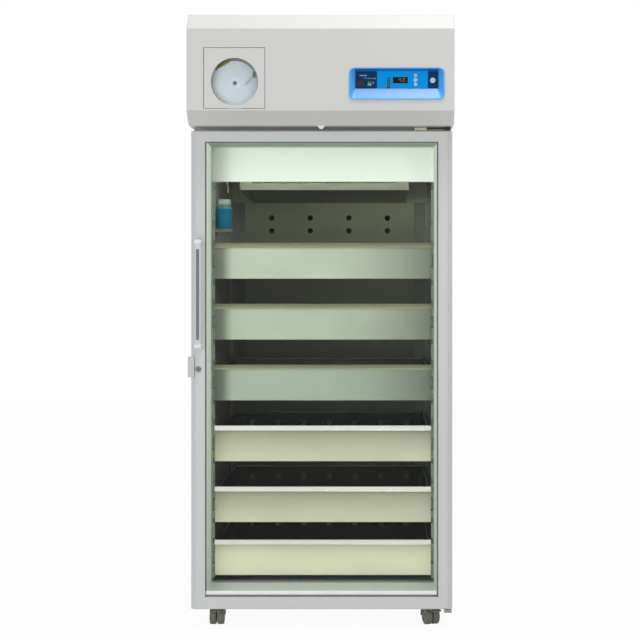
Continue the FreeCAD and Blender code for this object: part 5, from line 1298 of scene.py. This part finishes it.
class REFRIGERATOR_OT_stage(RefrigeratorStep, bpy.types.Operator):
    """Pale floor, soft studio light and the camera"""
    bl_idname = "refrigerator.stage"
    bl_label = "Stage"

    def execute(self, context):
        stage = context.scene.refrigerator_stage
        bm = bmesh.new()
        bmesh.ops.create_grid(bm, x_segments=1, y_segments=1, size=9.0)
        mesh = bpy.data.meshes.new("floor")
        bm.to_mesh(mesh)
        bm.free()
        floor = bpy.data.objects.new("floor", mesh)
        mesh.materials.append(finish("pale_floor"))
        context.collection.objects.link(floor)
        self.light_world(context, stage)
        low_front = (0.0, -0.3, 0.9)
        for name, place, target, size, power in (
                ("key_light", (0.7, -1.4, 5.3), (0.0, -0.35, 0.9), 1.4, stage.key_power),
                ("left_fill", (-2.4, -3.5, 1.25), low_front, 2.0, stage.left_power),
                ("right_fill", (2.9, -3.1, 1.3), low_front, 2.0, stage.right_power),
                ("header_light", (1.7, -2.2, 2.0), (0.25, -0.47, 1.84), 0.9, stage.header_power)):
            lamp = self.add_lamp(context, name, place, size, size, power)
            lamp.rotation_euler = (Vector(target) - Vector(place)).to_track_quat("-Z", "Y").to_euler()
        self.add_tube(context, stage.tube_power)
        self.add_camera(context, stage)
        context.scene.view_settings.view_transform = "Standard"
        return {"FINISHED"}

    def light_world(self, context, stage):
        world = bpy.data.worlds.new("studio_surround")
        context.scene.world = world
        tree = empty_tree(world)
        lit = add_node(tree, "ShaderNodeBackground", inputs={"Color": (1, 1, 1, 1),
                                                             "Strength": stage.world_level})
        seen = add_node(tree, "ShaderNodeBackground", inputs={"Color": (1, 1, 1, 1), "Strength": 1.0})
        both = add_node(tree, "ShaderNodeMixShader", inputs={0: direct_rays(tree),
                                                             1: lit.outputs["Background"],
                                                             2: seen.outputs["Background"]})
        add_node(tree, "ShaderNodeOutputWorld", inputs={"Surface": both.outputs["Shader"]})

    def add_lamp(self, context, name, place, width, depth, power):
        lamp = bpy.data.lights.new(name, "AREA")
        lamp.shape = "RECTANGLE"
        lamp.size, lamp.size_y = width, depth
        lamp.energy = power
        holder = bpy.data.objects.new(name, lamp)
        context.collection.objects.link(holder)
        holder.location = place
        return holder

    def add_tube(self, context, power):
        """The fluorescent tube behind the valance, which lights the room downwards."""
        low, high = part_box("light_valance")
        place = ((low.x + high.x) / 2, low.y + 22 * MM, low.z + 3 * MM)
        self.add_lamp(context, "tube_light", place, high.x - low.x - 80 * MM, 14 * MM, power)

    def add_camera(self, context, stage):
        lens = bpy.data.cameras.new("photo_camera")
        lens.sensor_width = 36.0
        lens.lens = 81.28
        lens.shift_x = -0.0906
        lens.shift_y = -0.0547
        camera = bpy.data.objects.new("photo_camera", lens)
        context.collection.objects.link(camera)
        camera.location = (stage.camera_x, -stage.camera_distance, stage.camera_height)
        camera.rotation_euler = (math.pi / 2, 0, 0)
        context.scene.camera = camera


# Panel and start


STEPS = (REFRIGERATOR_OT_cabinet, REFRIGERATOR_OT_cold_room, REFRIGERATOR_OT_drawers, REFRIGERATOR_OT_door,
         REFRIGERATOR_OT_gasket, REFRIGERATOR_OT_bottle, REFRIGERATOR_OT_recorder, REFRIGERATOR_OT_controls,
         REFRIGERATOR_OT_machine, REFRIGERATOR_OT_casters, REFRIGERATOR_OT_stage)
GROUPS = (("refrigerator_colours", RefrigeratorColours), ("refrigerator_details", RefrigeratorDetails),
          ("refrigerator_stage", RefrigeratorStage))


class REFRIGERATOR_PT_panel(bpy.types.Panel):
    """Lists the steps that dress the refrigerator, with their colours and sizes"""
    bl_label = "Refrigerator"
    bl_idname = "REFRIGERATOR_PT_panel"
    bl_space_type = "VIEW_3D"
    bl_region_type = "UI"
    bl_category = "Refrigerator"

    def draw(self, context):
        for step in STEPS:
            self.layout.operator(step.bl_idname)
        for name, _ in GROUPS:
            group = getattr(context.scene, name)
            box = self.layout.box()
            for setting in group.bl_rna.properties.keys():
                if setting not in ("rna_type", "name"):
                    box.prop(group, setting)


def register():
    for name, group in GROUPS:
        bpy.utils.register_class(group)
        setattr(bpy.types.Scene, name, bpy.props.PointerProperty(type=group))
    for made in STEPS + (REFRIGERATOR_PT_panel,):
        bpy.utils.register_class(made)


def unregister():
    for made in reversed(STEPS + (REFRIGERATOR_PT_panel,)):
        bpy.utils.unregister_class(made)
    for name, group in reversed(GROUPS):
        delattr(bpy.types.Scene, name)
        bpy.utils.unregister_class(group)


def main():
    register()
    for step in STEPS:
        family, action = step.bl_idname.split(".")
        getattr(getattr(bpy.ops, family), action)()


if __name__ == "__main__":
    main()
